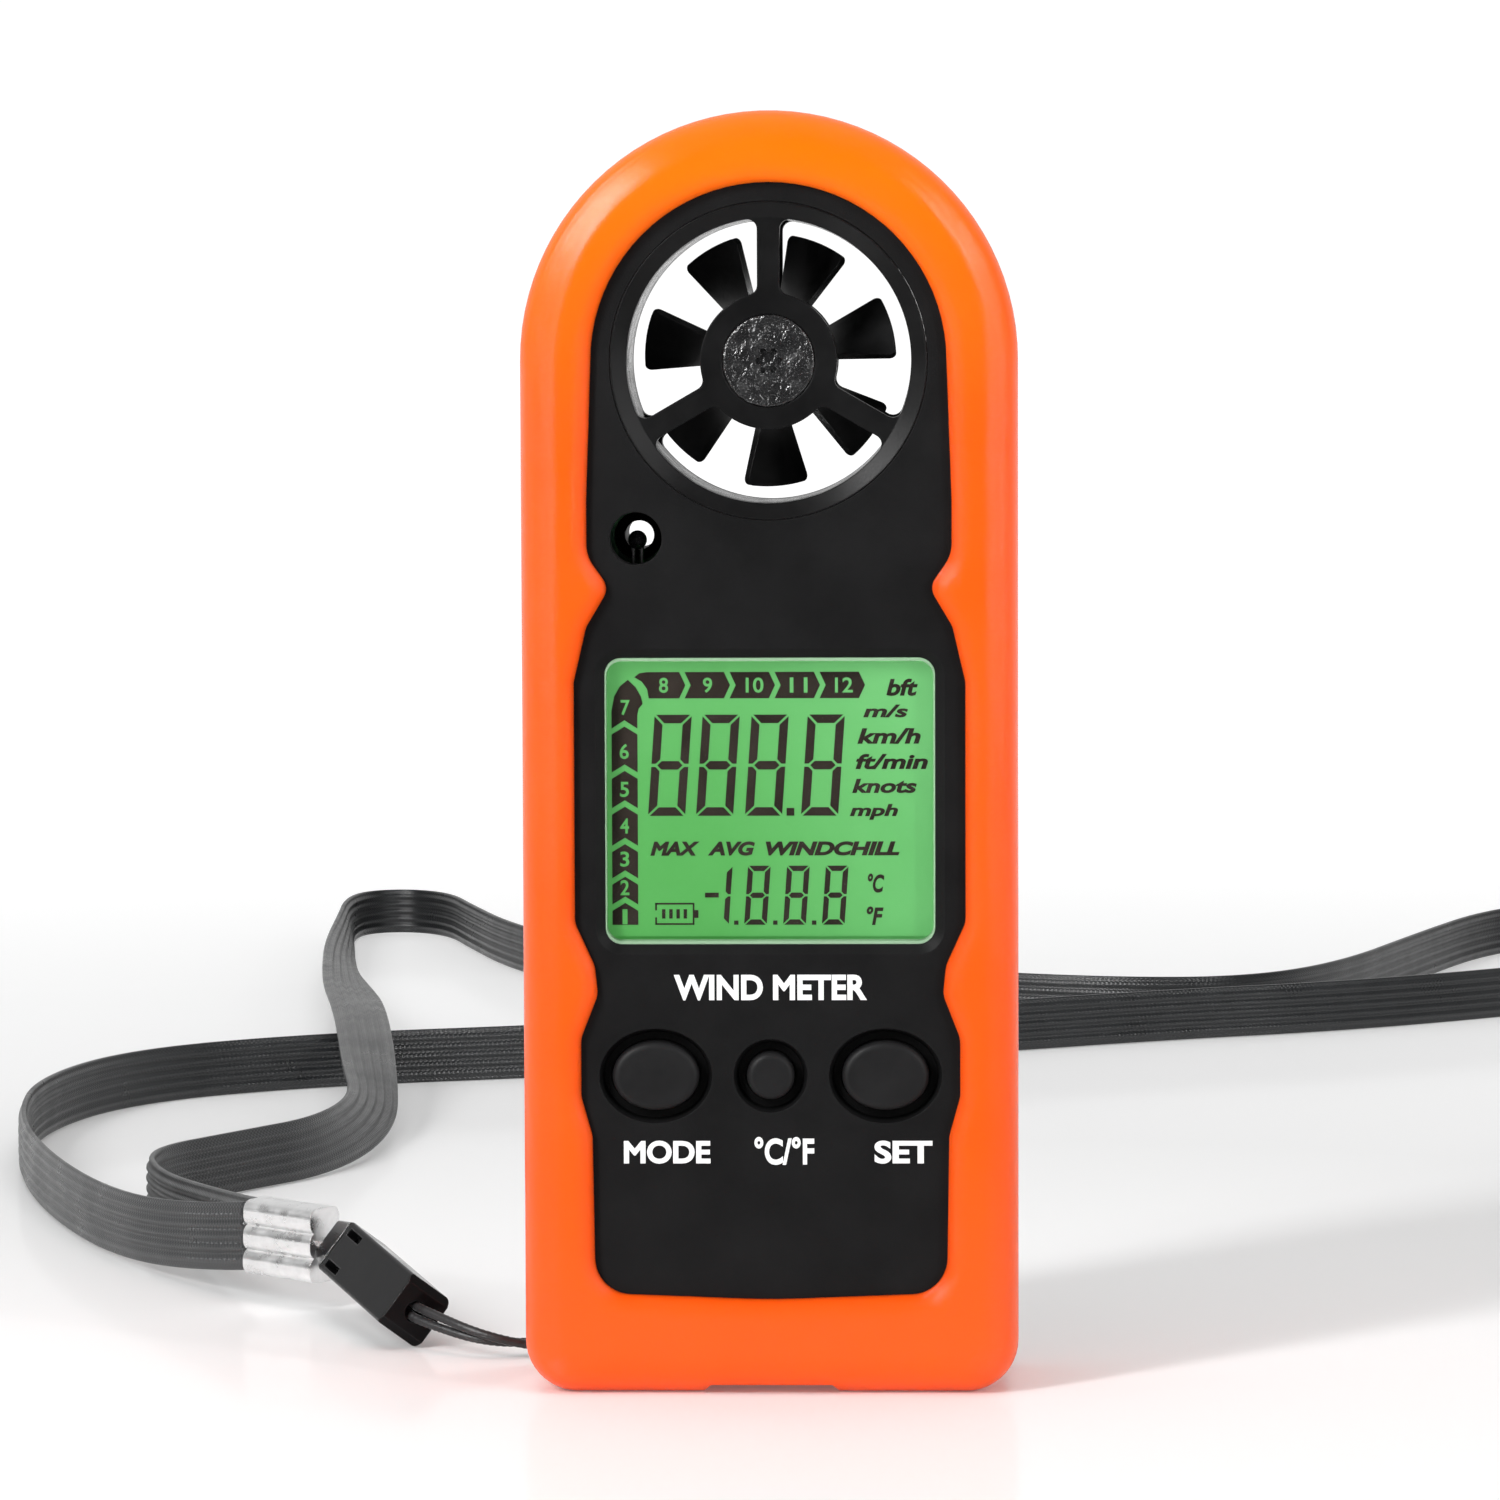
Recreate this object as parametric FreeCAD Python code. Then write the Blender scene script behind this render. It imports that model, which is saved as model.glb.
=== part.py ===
import FreeCAD, Part
import math
import os

# Handheld vane weather meter in a rubber holster, with its neck lanyard.
# Frame in millimetres: X to the right of the face, Y from the face to the back, Z up.
# The origin is the middle of the base, on the surface that the meter stands on.

V = FreeCAD.Vector

# ---- driving dimensions -------------------------------------------------------------
HEIGHT = 105.0
WIDTH = 40.6
DEPTH = 18.0

HALF = WIDTH / 2                # the arched top is a half circle of this radius
HUB_Z = HEIGHT - HALF           # height of the vane axis
FRONT = -DEPTH / 2
BACK = DEPTH / 2

LIP = 0.9                       # the holster stands this far proud of the case
HOLSTER_WALL = 2.0
CASE_HALF = HALF - HOLSTER_WALL
CASE_BOTTOM = 2.2
CASE_FRONT = FRONT + LIP
CASE_BACK = BACK - LIP
CASE_WALL = 1.6
INNER_FRONT = CASE_FRONT + CASE_WALL
INNER_BACK = CASE_BACK - CASE_WALL

THROAT = 11.6                   # radius of the air duct
GUARD_RADIUS = 12.9
GUARD_HUB = 5.57
SPOKE_WIDTH = 1.84
SPOKE_ANGLES = (90, 210, 330)
GUARD_RIM = 5.2                 # inner face of a guard, measured from the middle plane
GUARD_DISH = 7.3                # outer face of its spokes

BLADES = 7
BLADE_TIP = 10.4
BLADE_FIRST = 15.5              # angle of the first blade from +X
TIP_CHORD = 5.3                 # width of a blade seen along the axis
ROOT_CHORD = 1.7

SENSOR_X = -10.87
SENSOR_Z = 70.3

WINDOW_W = 27.0
WINDOW_H = 23.5
WINDOW_Z = 48.8

KEY_Z = 26.3
SIDE_KEY_X = 9.4
SIDE_KEY = (3.55, 2.83)         # half axes of the two oval keys
UNIT_KEY = (1.951, 1.95)
KEY_GAP = 0.12
WELL_FLARE = (1.08, 0.72)       # how far a key's well reaches past it, at the face and at its floor
WELL_DEPTH = 1.1

BOARD_FRONT = -2.0
BOARD_BACK = -0.8

CELL_Z = 30.0
CELL_RADIUS = 10.0
CELL_FRONT = 3.05
CELL_BACK = 6.2
DOOR_RADIUS = 12.0

PIN_Y = 5.6                     # lanyard pin inside the bottom recess
PIN_Z = 3.9
PIN_RADIUS = 0.75

STRING_DIAMETER = 1.6           # the doubled string taken as one round cord
STRAP_WIDTH = 6.3
STRAP_THICKNESS = 1.2

# ---- the lanyard's route, points chosen by hand -------------------------------------
STRING_ROUTE = [
    (0.0, 5.6, 3.9), (0.0, 10.9, 1.9), (-3.4, 14.6, 0.95), (-9.6, 14.9, 0.95),
    (-15.4, 12.6, 0.95), (-20.6, 9.9, 0.95), (-25.6, 8.6, 1.9), (-31.0, 13.5, 3.25),
]
STRAP_ROUTE = [
    (-54.5, 48.5, 4.4), (-63.5, 64.0, 3.4), (-73.0, 90.0, 3.2), (-80.5, 120.0, 3.2),
    (-83.0, 151.0, 3.2), (-76.0, 177.0, 3.2), (-56.0, 192.0, 3.2), (-31.0, 200.0, 3.2),
    (-4.0, 211.5, 3.2), (22.0, 224.5, 3.2), (43.0, 236.5, 3.2), (64.0, 245.5, 3.2),
    (88.0, 262.0, 3.2), (108.0, 282.0, 3.2), (120.5, 306.0, 3.2), (122.5, 328.0, 3.2),
    (114.5, 343.0, 3.2), (100.5, 346.0, 3.2), (90.0, 334.0, 3.2), (79.0, 305.0, 3.2),
    (66.0, 268.0, 3.2), (53.0, 251.0, 3.2), (36.0, 250.5, 3.2), (13.0, 261.0, 3.2),
    (-13.0, 275.5, 3.2), (-31.0, 293.0, 3.2), (-42.5, 319.0, 3.2), (-51.0, 345.0, 3.2),
    (-57.5, 366.0, 3.2), (-65.2, 368.2, 3.2), (-71.3, 363.0, 3.2), (-67.0, 332.0, 3.2),
    (-62.0, 298.0, 3.2), (-57.0, 264.0, 4.0), (-53.5, 236.0, 7.0), (-50.5, 210.0, 10.2),
    (-48.5, 186.0, 10.4), (-46.0, 162.0, 7.2), (-45.0, 140.0, 4.0), (-48.5, 120.0, 3.2),
    (-56.5, 107.5, 3.2), (-64.0, 95.0, 3.2), (-61.0, 78.0, 3.4), (-53.5, 60.0, 4.2),
]
CLIP_HEADING = -68.0            # degrees from +X, towards the string end
CLIP_PITCH = 6.5                # the string end lies lower
CLIP_ROLL = 53.0                # the clip rests on one long edge
CLIP_LENGTH = 23.0              # plug head and socket together
CRIMP_HEADING = -36.0           # the crimp swings to one side on the plug's tail
CRIMP_PITCH = 1.5
CRIMP_LENGTH = 8.0
STRAP_LAYER = 0.85              # the strap's two ends lie this far each side of the crimp's middle


# ---- helpers ------------------------------------------------------------------------
def box(x0, x1, y0, y1, z0, z1):
    return Part.makeBox(x1 - x0, y1 - y0, z1 - z0, V(x0, y0, z0))


def rod(radius, y0, y1, x=0.0, z=0.0):
    return Part.makeCylinder(radius, y1 - y0, V(x, y0, z), V(0, 1, 0))


def ring(outer, inner, y0, y1, x=0.0, z=0.0):
    return rod(outer, y0, y1, x, z).cut(rod(inner, y0 - 1, y1 + 1, x, z))


def oval_wire(half, y, x, z):
    ellipse = Part.Ellipse(V(x + half[0], y, z), V(x, y, z + half[1]), V(x, y, z))
    return Part.Wire(ellipse.toShape())


def oval(half, y0, y1, x, z):
    return Part.Face(oval_wire(half, y0, x, z)).extrude(V(0, y1 - y0, 0))


def grow(half, gap):
    return (half[0] + gap, half[1] + gap)


def corner_arc(before, corner, after, radius):
    """The arc of this radius that is tangent to both lines through a corner."""
    to_before = (before - corner).normalize()
    to_after = (after - corner).normalize()
    half_angle = to_before.getAngle(to_after) / 2
    reach = radius / math.tan(half_angle)
    middle = (to_before + to_after).normalize()
    middle = middle * (radius / math.sin(half_angle) - radius)
    return Part.Arc(corner + to_before * reach, corner + middle, corner + to_after * reach)


def rounded_edges(points, closed):
    """Lines and arcs through (point, radius) corners; radius 0 keeps a corner sharp."""
    count = len(points)
    edges = []
    last = None
    first = None
    for i, (point, radius) in enumerate(points):
        start = end = point
        arc = None
        if radius:
            arc = corner_arc(points[i - 1][0], point, points[(i + 1) % count][0], radius)
            start = arc.StartPoint
            end = arc.EndPoint
        if last is not None:
            edges.append(Part.LineSegment(last, start).toShape())
        if first is None:
            first = start
        if arc is not None:
            edges.append(arc.toShape())
        last = end
    if closed:
        edges.append(Part.LineSegment(last, first).toShape())
    return edges


def plate(corners, y0, y1):
    """A slab along Y from (x, z, corner radius) triples."""
    points = [(V(x, y0, z), r) for x, z, r in corners]
    wire = Part.Wire(rounded_edges(points, True))
    return Part.Face(wire).extrude(V(0, y1 - y0, 0))


def block(half_width, z0, z1, radius, y0, y1, x=0.0):
    corners = [(x - half_width, z0), (x + half_width, z0), (x + half_width, z1), (x - half_width, z1)]
    return plate([(cx, cz, radius) for cx, cz in corners], y0, y1)


def arched(arch, side, y0, y1):
    """A slab with a half-round top at the hub; side lists its right-hand corners downwards."""
    right = [(V(x, y0, z), r) for x, z, r in side]
    left = [(V(-x, y0, z), r) for x, z, r in reversed(side) if x > 0]
    foot = V(arch, y0, HUB_Z)
    other = V(-arch, y0, HUB_Z)
    edges = rounded_edges([(foot, 0)] + right + left + [(other, 0)], False)
    edges.append(Part.Arc(other, V(0, y0, HUB_Z + arch), foot).toShape())
    return Part.Face(Part.Wire(edges)).extrude(V(0, y1 - y0, 0))


def fused(shapes):
    shape = shapes[0]
    for other in shapes[1:]:
        shape = shape.fuse(other)
    return shape.removeSplitter()


def turned(shape, degrees):
    """A copy turned about the vane axis, anticlockwise seen from the front."""
    copy = shape.copy()
    copy.rotate(V(0, 0, HUB_Z), V(0, 1, 0), -degrees)
    return copy


def mirrored_depth(shape):
    return shape.mirror(V(0, 0, 0), V(0, 1, 0))


def edges_at_depth(shape, y, wanted):
    found = []
    for edge in shape.Edges:
        bounds = edge.BoundBox
        flat = abs(bounds.YMin - y) < 1e-4 and abs(bounds.YMax - y) < 1e-4
        if flat and wanted(edge.CenterOfMass):
            found.append(edge)
    return found


def route_wire(points, label):
    """Straight runs joined by tangent arcs, each as large as its two runs allow."""
    points = [V(*p) for p in points]
    corners = [(points[0], 0)]
    radii = []
    for before, corner, after in zip(points, points[1:], points[2:]):
        shorter = min((corner - before).Length, (after - corner).Length)
        turn = (corner - before).getAngle(after - corner)
        radius = 0.45 * shorter / math.tan(turn / 2)
        radii.append(radius)
        corners.append((corner, radius))
    corners.append((points[-1], 0))
    wire = Part.Wire(rounded_edges(corners, False))
    print(label, "arc radii", [round(r, 1) for r in radii], "length", round(wire.Length, 1))
    return wire


def report_volume(label, shape, section, length):
    print(label, "volume", round(shape.Volume, 1), "section x length", round(section * length, 1))


# ---- holster and case ---------------------------------------------------------------
WINDOW_SIDE = [
    (14.85, 73.3, 8.0), (14.85, 68.9, 3.0), (13.0, 66.3, 1.4), (14.9, 63.1, 1.6),
    (15.95, 58.6, 2.0), (15.95, 38.9, 2.0), (14.35, 35.4, 2.5), (14.1, 33.0, 2.0),
    (15.5, 29.4, 2.5), (15.5, 24.6, 2.0), (14.6, 21.4, 2.0), (14.4, 8.4, 3.0),
    (0.0, 7.85, 60.0),
]
WINDOW_ARCH = 14.45
REAR_WINDOW_ARCH = 15.4
CHANNEL_HEIGHT = 0.75
RECESS_HALF = 4.0
RECESS_FRONT = 1.5
RECESS_TOP = 5.5


def case_block(inset, y0, y1):
    corner = 2.6 - inset * 0.6
    side = [(CASE_HALF - inset, CASE_BOTTOM + inset, corner)]
    return arched(CASE_HALF - inset, side, y0, y1)


def lanyard_recess():
    return box(-RECESS_HALF, RECESS_HALF, RECESS_FRONT, BACK + 1, -1, RECESS_TOP)


def rubber_sleeve():
    body = arched(HALF, [(HALF, 0, 4.3)], FRONT, BACK)
    rim = edges_at_depth(body, FRONT, lambda c: True) + edges_at_depth(body, BACK, lambda c: True)
    body = body.makeFillet(2.8, rim)
    body = body.cut(case_block(-0.05, CASE_FRONT, CASE_BACK))
    body = body.cut(arched(WINDOW_ARCH, WINDOW_SIDE, FRONT - 1, 0))
    rear_side = [(REAR_WINDOW_ARCH, 8.2, 4.0)]
    body = body.cut(arched(REAR_WINDOW_ARCH, rear_side, 0, BACK + 1))
    lips = edges_at_depth(body, FRONT, lambda c: abs(c.x) < 16.5 and 5 < c.z < HUB_Z + 16)
    lips += edges_at_depth(body, BACK, lambda c: abs(c.x) < 16.5 and 5 < c.z < HUB_Z + 16)
    body = body.makeFillet(0.6, lips)
    channel = [(-5.7, -1, 0), (5.7, -1, 0), (5.7, 0, 0), (5.0, CHANNEL_HEIGHT, 0.2),
               (-5.0, CHANNEL_HEIGHT, 0.2), (-5.7, 0, 0)]
    body = body.cut(plate(channel, FRONT - 1, BACK + 1))
    return body.cut(lanyard_recess())


SCREW_SPOTS = [(-13.4, 65.4), (13.4, 65.4), (-12.6, 8.2), (12.6, 8.2)]
BOARD_SPOTS = [(-7.0, 66.2), (7.0, 66.2), (-11.6, 14.6), (11.6, 14.6)]
SCREW_RADIUS = 0.95
HEAD_RADIUS = 1.8
SCREW_BOSS = 2.1
BOARD_SCREW = 0.7
BOARD_BOSS = 1.7
SENSOR_BOSS = 3.0
SENSOR_HOLE = 2.15              # the hole in the face over the air sensor
DUCT_BOSS = 14.2


def key_places():
    return [("mode", -SIDE_KEY_X, SIDE_KEY), ("unit", 0.0, UNIT_KEY), ("set", SIDE_KEY_X, SIDE_KEY)]


def key_dish(half, x):
    """The steep-sided well round a key, and the hole at its bottom."""
    top = oval_wire(grow(half, WELL_FLARE[0]), CASE_FRONT - 0.01, x, KEY_Z)
    bottom = oval_wire(grow(half, WELL_FLARE[1]), CASE_FRONT + WELL_DEPTH, x, KEY_Z)
    dish = Part.makeLoft([top, bottom], True, True)
    return dish.fuse(oval(grow(half, KEY_GAP), CASE_FRONT, INNER_FRONT + 1, x, KEY_Z))


def front_case():
    shell = case_block(0, CASE_FRONT, 0)
    shell = shell.makeFillet(0.8, edges_at_depth(shell, CASE_FRONT, lambda c: True))
    shell = shell.cut(case_block(CASE_WALL, INNER_FRONT, 1))
    parts = [shell, rod(DUCT_BOSS, INNER_FRONT - 0.1, 0, 0, HUB_Z)]
    parts.append(rod(SENSOR_BOSS, INNER_FRONT - 0.1, -5.2, SENSOR_X, SENSOR_Z))
    for x, z in SCREW_SPOTS:
        parts.append(rod(SCREW_BOSS, INNER_FRONT - 0.1, 0, x, z))
    for x, z in BOARD_SPOTS:
        parts.append(rod(BOARD_BOSS, INNER_FRONT - 0.1, BOARD_FRONT, x, z))
    body = fused(parts)
    body = body.cut(rod(GUARD_RADIUS + 0.05, FRONT, 1, 0, HUB_Z))
    body = body.cut(rod(SENSOR_HOLE, FRONT, 0, SENSOR_X, SENSOR_Z))
    for x, z in SCREW_SPOTS:
        body = body.cut(rod(SCREW_RADIUS, -4.6, 1, x, z))
    for x, z in BOARD_SPOTS:
        body = body.cut(rod(BOARD_SCREW, -5.6, 0, x, z))
    half_w = WINDOW_W / 2
    z0 = WINDOW_Z - WINDOW_H / 2
    z1 = WINDOW_Z + WINDOW_H / 2
    body = body.cut(block(half_w, z0, z1, 1.4, FRONT, 0))
    bevel = 0.75
    outer = block_wire(half_w + bevel, z0 - bevel, z1 + bevel, 2.1, CASE_FRONT - 0.01)
    inner = block_wire(half_w + 0.01, z0 - 0.01, z1 + 0.01, 1.4, CASE_FRONT + 0.55)
    body = body.cut(Part.makeLoft([outer, inner], True, True))
    for _, x, half in key_places():
        body = body.cut(key_dish(half, x))
    return body


def block_wire(half_width, z0, z1, radius, y):
    corners = [(-half_width, z0), (half_width, z0), (half_width, z1), (-half_width, z1)]
    return Part.Wire(rounded_edges([(V(x, y, z), radius) for x, z in corners], True))


CUP_OUTER = 11.5
CUP_INNER = 10.3
CUP_FLOOR = 1.5
WELL_RADIUS = 14.5
LUG_RADIUS = 13.0
LUG_ANGLES = (30, 150, 270)
UNLOCK_ANGLE = -45            # the door turns this far, anticlockwise seen from the back


def lug_sector(inner, outer, y0, y1, angle, spread):
    """A piece of ring about the battery axis, spread degrees wide."""
    band = Part.makeCylinder(outer, y1 - y0, V(0, 0, 0), V(0, 0, 1), spread)
    band = band.cut(Part.makeCylinder(inner, y1 - y0, V(0, 0, 0), V(0, 0, 1), 360))
    band.rotate(V(0, 0, 0), V(0, 0, 1), -spread / 2 + angle)
    band.rotate(V(0, 0, 0), V(1, 0, 0), 90)
    band.translate(V(0, y1, CELL_Z))
    return band


def cable_slot():
    """A groove for the sensor's cable, along the lower right spoke and out of the duct."""
    slot = box(1.5, 17.0, GUARD_RIM - 0.1, GUARD_RIM + 1.05, HUB_Z - 0.55, HUB_Z + 0.55)
    return turned(slot, SPOKE_ANGLES[2])


def rear_case():
    shell = case_block(0, 0, CASE_BACK)
    shell = shell.makeFillet(0.8, edges_at_depth(shell, CASE_BACK, lambda c: True))
    shell = shell.cut(case_block(CASE_WALL, -1, INNER_BACK))
    parts = [shell, rod(DUCT_BOSS, 0, INNER_BACK + 0.1, 0, HUB_Z)]
    parts.append(rod(2.4, BOARD_BACK + 0.9, INNER_BACK + 0.1, SENSOR_X, SENSOR_Z))
    parts.append(rod(WELL_RADIUS, CUP_FLOOR, INNER_BACK + 0.1, 0, CELL_Z))
    for x, z in SCREW_SPOTS:
        parts.append(rod(SCREW_BOSS, 0, INNER_BACK + 0.1, x, z))
    recess_wall = 1.2
    parts.append(box(-RECESS_HALF - recess_wall, RECESS_HALF + recess_wall,
                     RECESS_FRONT - recess_wall, INNER_BACK + 0.1,
                     CASE_BOTTOM + 0.5, RECESS_TOP + recess_wall))
    body = fused(parts)
    body = body.cut(rod(GUARD_RADIUS + 0.05, -1, BACK, 0, HUB_Z))
    body = body.cut(rod(1.2, -1, BACK, SENSOR_X, SENSOR_Z))
    body = body.cut(rod(CUP_INNER, CUP_FLOOR + 0.8, BACK, 0, CELL_Z))
    lug_path = ring(LUG_RADIUS + 0.3, CUP_OUTER, CUP_FLOOR + 0.8, INNER_BACK, 0, CELL_Z)
    body = body.cut(lug_path)
    body = body.cut(rod(DOOR_RADIUS + 0.1, INNER_BACK - 0.8, BACK, 0, CELL_Z))
    for angle in LUG_ANGLES:
        notch = lug_sector(DOOR_RADIUS, LUG_RADIUS + 0.15, INNER_BACK - 0.1, BACK,
                           angle + UNLOCK_ANGLE, 26)
        body = body.cut(notch)
    for x, z in SCREW_SPOTS:
        body = body.cut(rod(SCREW_RADIUS + 0.15, -1, BACK, x, z))
        body = body.cut(rod(HEAD_RADIUS + 0.1, CASE_BACK - 1.5, BACK, x, z))
    body = body.cut(cable_slot())
    body = body.cut(rod(0.45, -1, CUP_FLOOR + 1, 0, CELL_Z))
    body = body.cut(lanyard_recess())
    pin = Part.makeCylinder(PIN_RADIUS, 10.0, V(-5.0, PIN_Y, PIN_Z), V(1, 0, 0))
    return body.cut(pin)


CROSS = (1.1, 0.22)             # half length and half width of a screw's cross recess


def case_screws():
    screws = []
    for x, z in SCREW_SPOTS:
        head = rod(HEAD_RADIUS, CASE_BACK - 1.45, CASE_BACK - 0.25, x, z)
        head = head.makeFillet(0.3, edges_at_depth(head, CASE_BACK - 0.25, lambda c: True))
        slot_y = CASE_BACK - 0.9
        cross = box(x - CROSS[0], x + CROSS[0], slot_y, BACK, z - CROSS[1], z + CROSS[1])
        cross = cross.fuse(box(x - CROSS[1], x + CROSS[1], slot_y, BACK, z - CROSS[0], z + CROSS[0]))
        screws.append(head.cut(cross).fuse(rod(SCREW_RADIUS, -4.4, CASE_BACK - 1.45, x, z)))
    return Part.makeCompound(screws)


# ---- vane ---------------------------------------------------------------------------
def guard_windows():
    """The three openings between the spokes, with rounded corners."""
    opening = ring(THROAT, GUARD_HUB, 0, BACK + 1, 0, HUB_Z)
    spoke = box(0, 20, -1, BACK + 2, HUB_Z - SPOKE_WIDTH / 2, HUB_Z + SPOKE_WIDTH / 2)
    for angle in SPOKE_ANGLES:
        opening = opening.cut(turned(spoke, angle))
    windows = []
    for solid in opening.Solids:
        uprights = [e for e in solid.Edges if e.BoundBox.YLength > 1 and len(e.Vertexes) == 2
                    and e.BoundBox.XLength < 0.01 and e.BoundBox.ZLength < 0.01]
        windows.append(solid.makeFillet(0.8, uprights))
    return windows


def guard():
    """The rear guard; the front one is its mirror image."""
    body = rod(GUARD_RADIUS, GUARD_RIM, CASE_BACK, 0, HUB_Z)
    profile = [V(0, GUARD_DISH, HUB_Z), V(THROAT, GUARD_DISH, HUB_Z),
               V(GUARD_RADIUS - 0.1, CASE_BACK + 0.01, HUB_Z), V(0, CASE_BACK + 0.01, HUB_Z)]
    edges = [Part.LineSegment(a, b).toShape() for a, b in zip(profile, profile[1:] + profile[:1])]
    dish = Part.Face(Part.Wire(edges)).revolve(V(0, 0, HUB_Z), V(0, 1, 0), 360)
    body = body.cut(dish)
    for window in guard_windows():
        body = body.cut(window)
    body = body.fuse(rod(GUARD_HUB, 3.5, GUARD_RIM + 0.1, 0, HUB_Z)).removeSplitter()
    body = body.cut(rod(1.2, 3.0, GUARD_DISH + 1, 0, HUB_Z))
    return body.cut(rod(3.8, GUARD_DISH - 0.75, GUARD_DISH + 1, 0, HUB_Z))


def rear_guard():
    body = guard().cut(box(-2.1, 2.1, GUARD_RIM + 0.05, GUARD_DISH, HUB_Z - 1.6, HUB_Z + 1.6))
    return body.cut(cable_slot())


def guard_cap(star):
    """The disc pressed into a guard's hub, with a star recess on the front one."""
    cap = rod(3.77, GUARD_DISH - 0.7, GUARD_DISH + 0.12, 0, HUB_Z)
    cap = cap.makeFillet(0.25, edges_at_depth(cap, GUARD_DISH + 0.12, lambda c: True))
    if not star:
        return cap
    recess = rod(0.75, GUARD_DISH - 0.3, BACK, 0, HUB_Z)
    for i in range(6):
        lobe = rod(0.26, GUARD_DISH - 0.3, BACK, 0.86, HUB_Z)
        recess = recess.fuse(turned(lobe, 60 * i))
    return cap.cut(recess)


def blade():
    """One pitched blade along +X, rounded at its tip corners."""
    sections = []
    for radius, chord in ((3.0, ROOT_CHORD - 0.6), (BLADE_TIP + 0.4, TIP_CHORD + 0.1)):
        depth = 4.4
        long_side = math.hypot(chord, depth)
        cross = V(0, depth / long_side, chord / long_side)
        normal = V(0, -cross.z, cross.y)
        centre = V(radius, 0, HUB_Z)
        a = cross * (long_side / 2)
        b = normal * 0.28
        corners = [centre + a + b, centre - a + b, centre - a - b, centre + a - b]
        sections.append(Part.makePolygon(corners + corners[:1]))
    body = Part.makeLoft(sections, True, True)
    body = body.common(rod(BLADE_TIP, -4, 4, 0, HUB_Z))
    tips = []
    for edge in body.Edges:
        centre = edge.CenterOfMass
        if edge.Length < 0.9 and math.hypot(centre.x, centre.z - HUB_Z) > BLADE_TIP - 0.4:
            tips.append(edge)
    return body.makeFillet(0.6, tips)


def impeller():
    hub = rod(3.9, -2.3, 2.3, 0, HUB_Z)
    hub = hub.makeFillet(0.5, edges_at_depth(hub, -2.3, lambda c: True))
    parts = [hub]
    for i in range(BLADES):
        parts.append(turned(blade(), BLADE_FIRST + i * 360.0 / BLADES))
    body = fused(parts)
    return body.cut(rod(0.5, -4, 4, 0, HUB_Z))


def bearing():
    """A jewel bush in the rear guard's hub."""
    return ring(1.2, 0.56, 3.6, 5.15, 0, HUB_Z)


SHAFT_END = 4.9
CABLE_RADIUS = 0.42
CABLE_REACH = (2.15, 15.45)     # from the vane axis: where the cable starts and where it turns down
CABLE_DROP = 69.2               # height at which it meets the board


def hall_sensor():
    return box(-2.0, 2.0, GUARD_RIM + 0.1, GUARD_DISH - 0.8, HUB_Z - 1.5, HUB_Z + 1.5)


def hall_cable():
    """The sensor's three-core cable, from the rear hub out of the duct and down to the board."""
    direction = math.radians(SPOKE_ANGLES[2])
    outward = V(math.cos(direction), 0, math.sin(direction))
    hub = V(0, GUARD_RIM + 0.5, HUB_Z)
    inner = hub + outward * CABLE_REACH[0]
    corner = hub + outward * CABLE_REACH[1]
    below = V(corner.x, corner.y, CABLE_DROP + 2.0)
    board = V(corner.x, 0.9, CABLE_DROP)
    end = V(corner.x, BOARD_BACK, CABLE_DROP)
    corners = [(inner, 0), (corner, 0.9), (below, 1.0), (board, 0.5), (end, 0)]
    wire = Part.Wire(rounded_edges(corners, False))
    start = wire.Edges[0]
    circle = Part.Circle(inner, start.tangentAt(start.FirstParameter), CABLE_RADIUS)
    profile = Part.Wire(circle.toShape())
    return wire.makePipeShell([profile], True, False).cut(hall_sensor())


# ---- display ------------------------------------------------------------------------
LENS_FRONT = CASE_FRONT + 0.6


def lcd_window():
    half_w = WINDOW_W / 2 - 0.03
    z0 = WINDOW_Z - WINDOW_H / 2 + 0.03
    z1 = WINDOW_Z + WINDOW_H / 2 - 0.03
    face = block(half_w, z0, z1, 1.37, LENS_FRONT, INNER_FRONT)
    return face.fuse(block(14.4, 36.3, 61.3, 1.5, INNER_FRONT, INNER_FRONT + 0.35)).removeSplitter()


GLASS_FRONT = INNER_FRONT + 0.4
GLASS_BACK = GLASS_FRONT + 1.3


def lcd_glass():
    rear = block(14.8, 35.2, 62.0, 0.3, GLASS_FRONT + 0.65, GLASS_BACK)
    front = block(14.8, 37.6, 62.0, 0.3, GLASS_FRONT, GLASS_FRONT + 0.65)
    return front.fuse(rear)


def lcd_holder():
    frame = block(15.3, 33.9, 62.6, 0.8, GLASS_BACK + 0.03, BOARD_FRONT)
    frame = frame.cut(block(13.45, 38.0, 61.0, 0.4, GLASS_BACK, BOARD_FRONT + 1))
    return frame.cut(block(13.05, 35.35, 37.25, 0.1, GLASS_BACK, BOARD_FRONT + 1))


def lcd_backlight():
    return block(13.4, 38.05, 59.9, 0.4, GLASS_BACK + 0.03, GLASS_BACK + 2.0)


def backlight_leds():
    leds = []
    for x in (-6.0, 6.0):
        leds.append(box(x - 1.5, x + 1.5, BOARD_FRONT - 1.9, BOARD_FRONT, 60.0, 60.9))
    return Part.makeCompound(leds)


def zebra_strip():
    return box(-13.0, 13.0, GLASS_BACK + 0.03, BOARD_FRONT, 35.4, 37.2)


# ---- main board ---------------------------------------------------------------------
BEAD_Y = -3.9


def main_board():
    board = block(14.6, 11.6, 72.4, 1.0, BOARD_FRONT, BOARD_BACK)
    board = board.cut(rod(DUCT_BOSS + 0.3, -3, 1, 0, HUB_Z))
    board = board.cut(rod(2.0, -3, 1, SENSOR_X, SENSOR_Z))
    for x, z in SCREW_SPOTS[:2]:
        side = math.copysign(1, x)
        board = board.cut(rod(2.4, -3, 1, x, z))
        board = board.cut(box(min(x, side * 20), max(x, side * 20), -3, 1, z - 2.4, z + 2.4))
    for x, z in BOARD_SPOTS:
        board = board.cut(rod(0.95, -3, 1, x, z))
    return board


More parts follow.
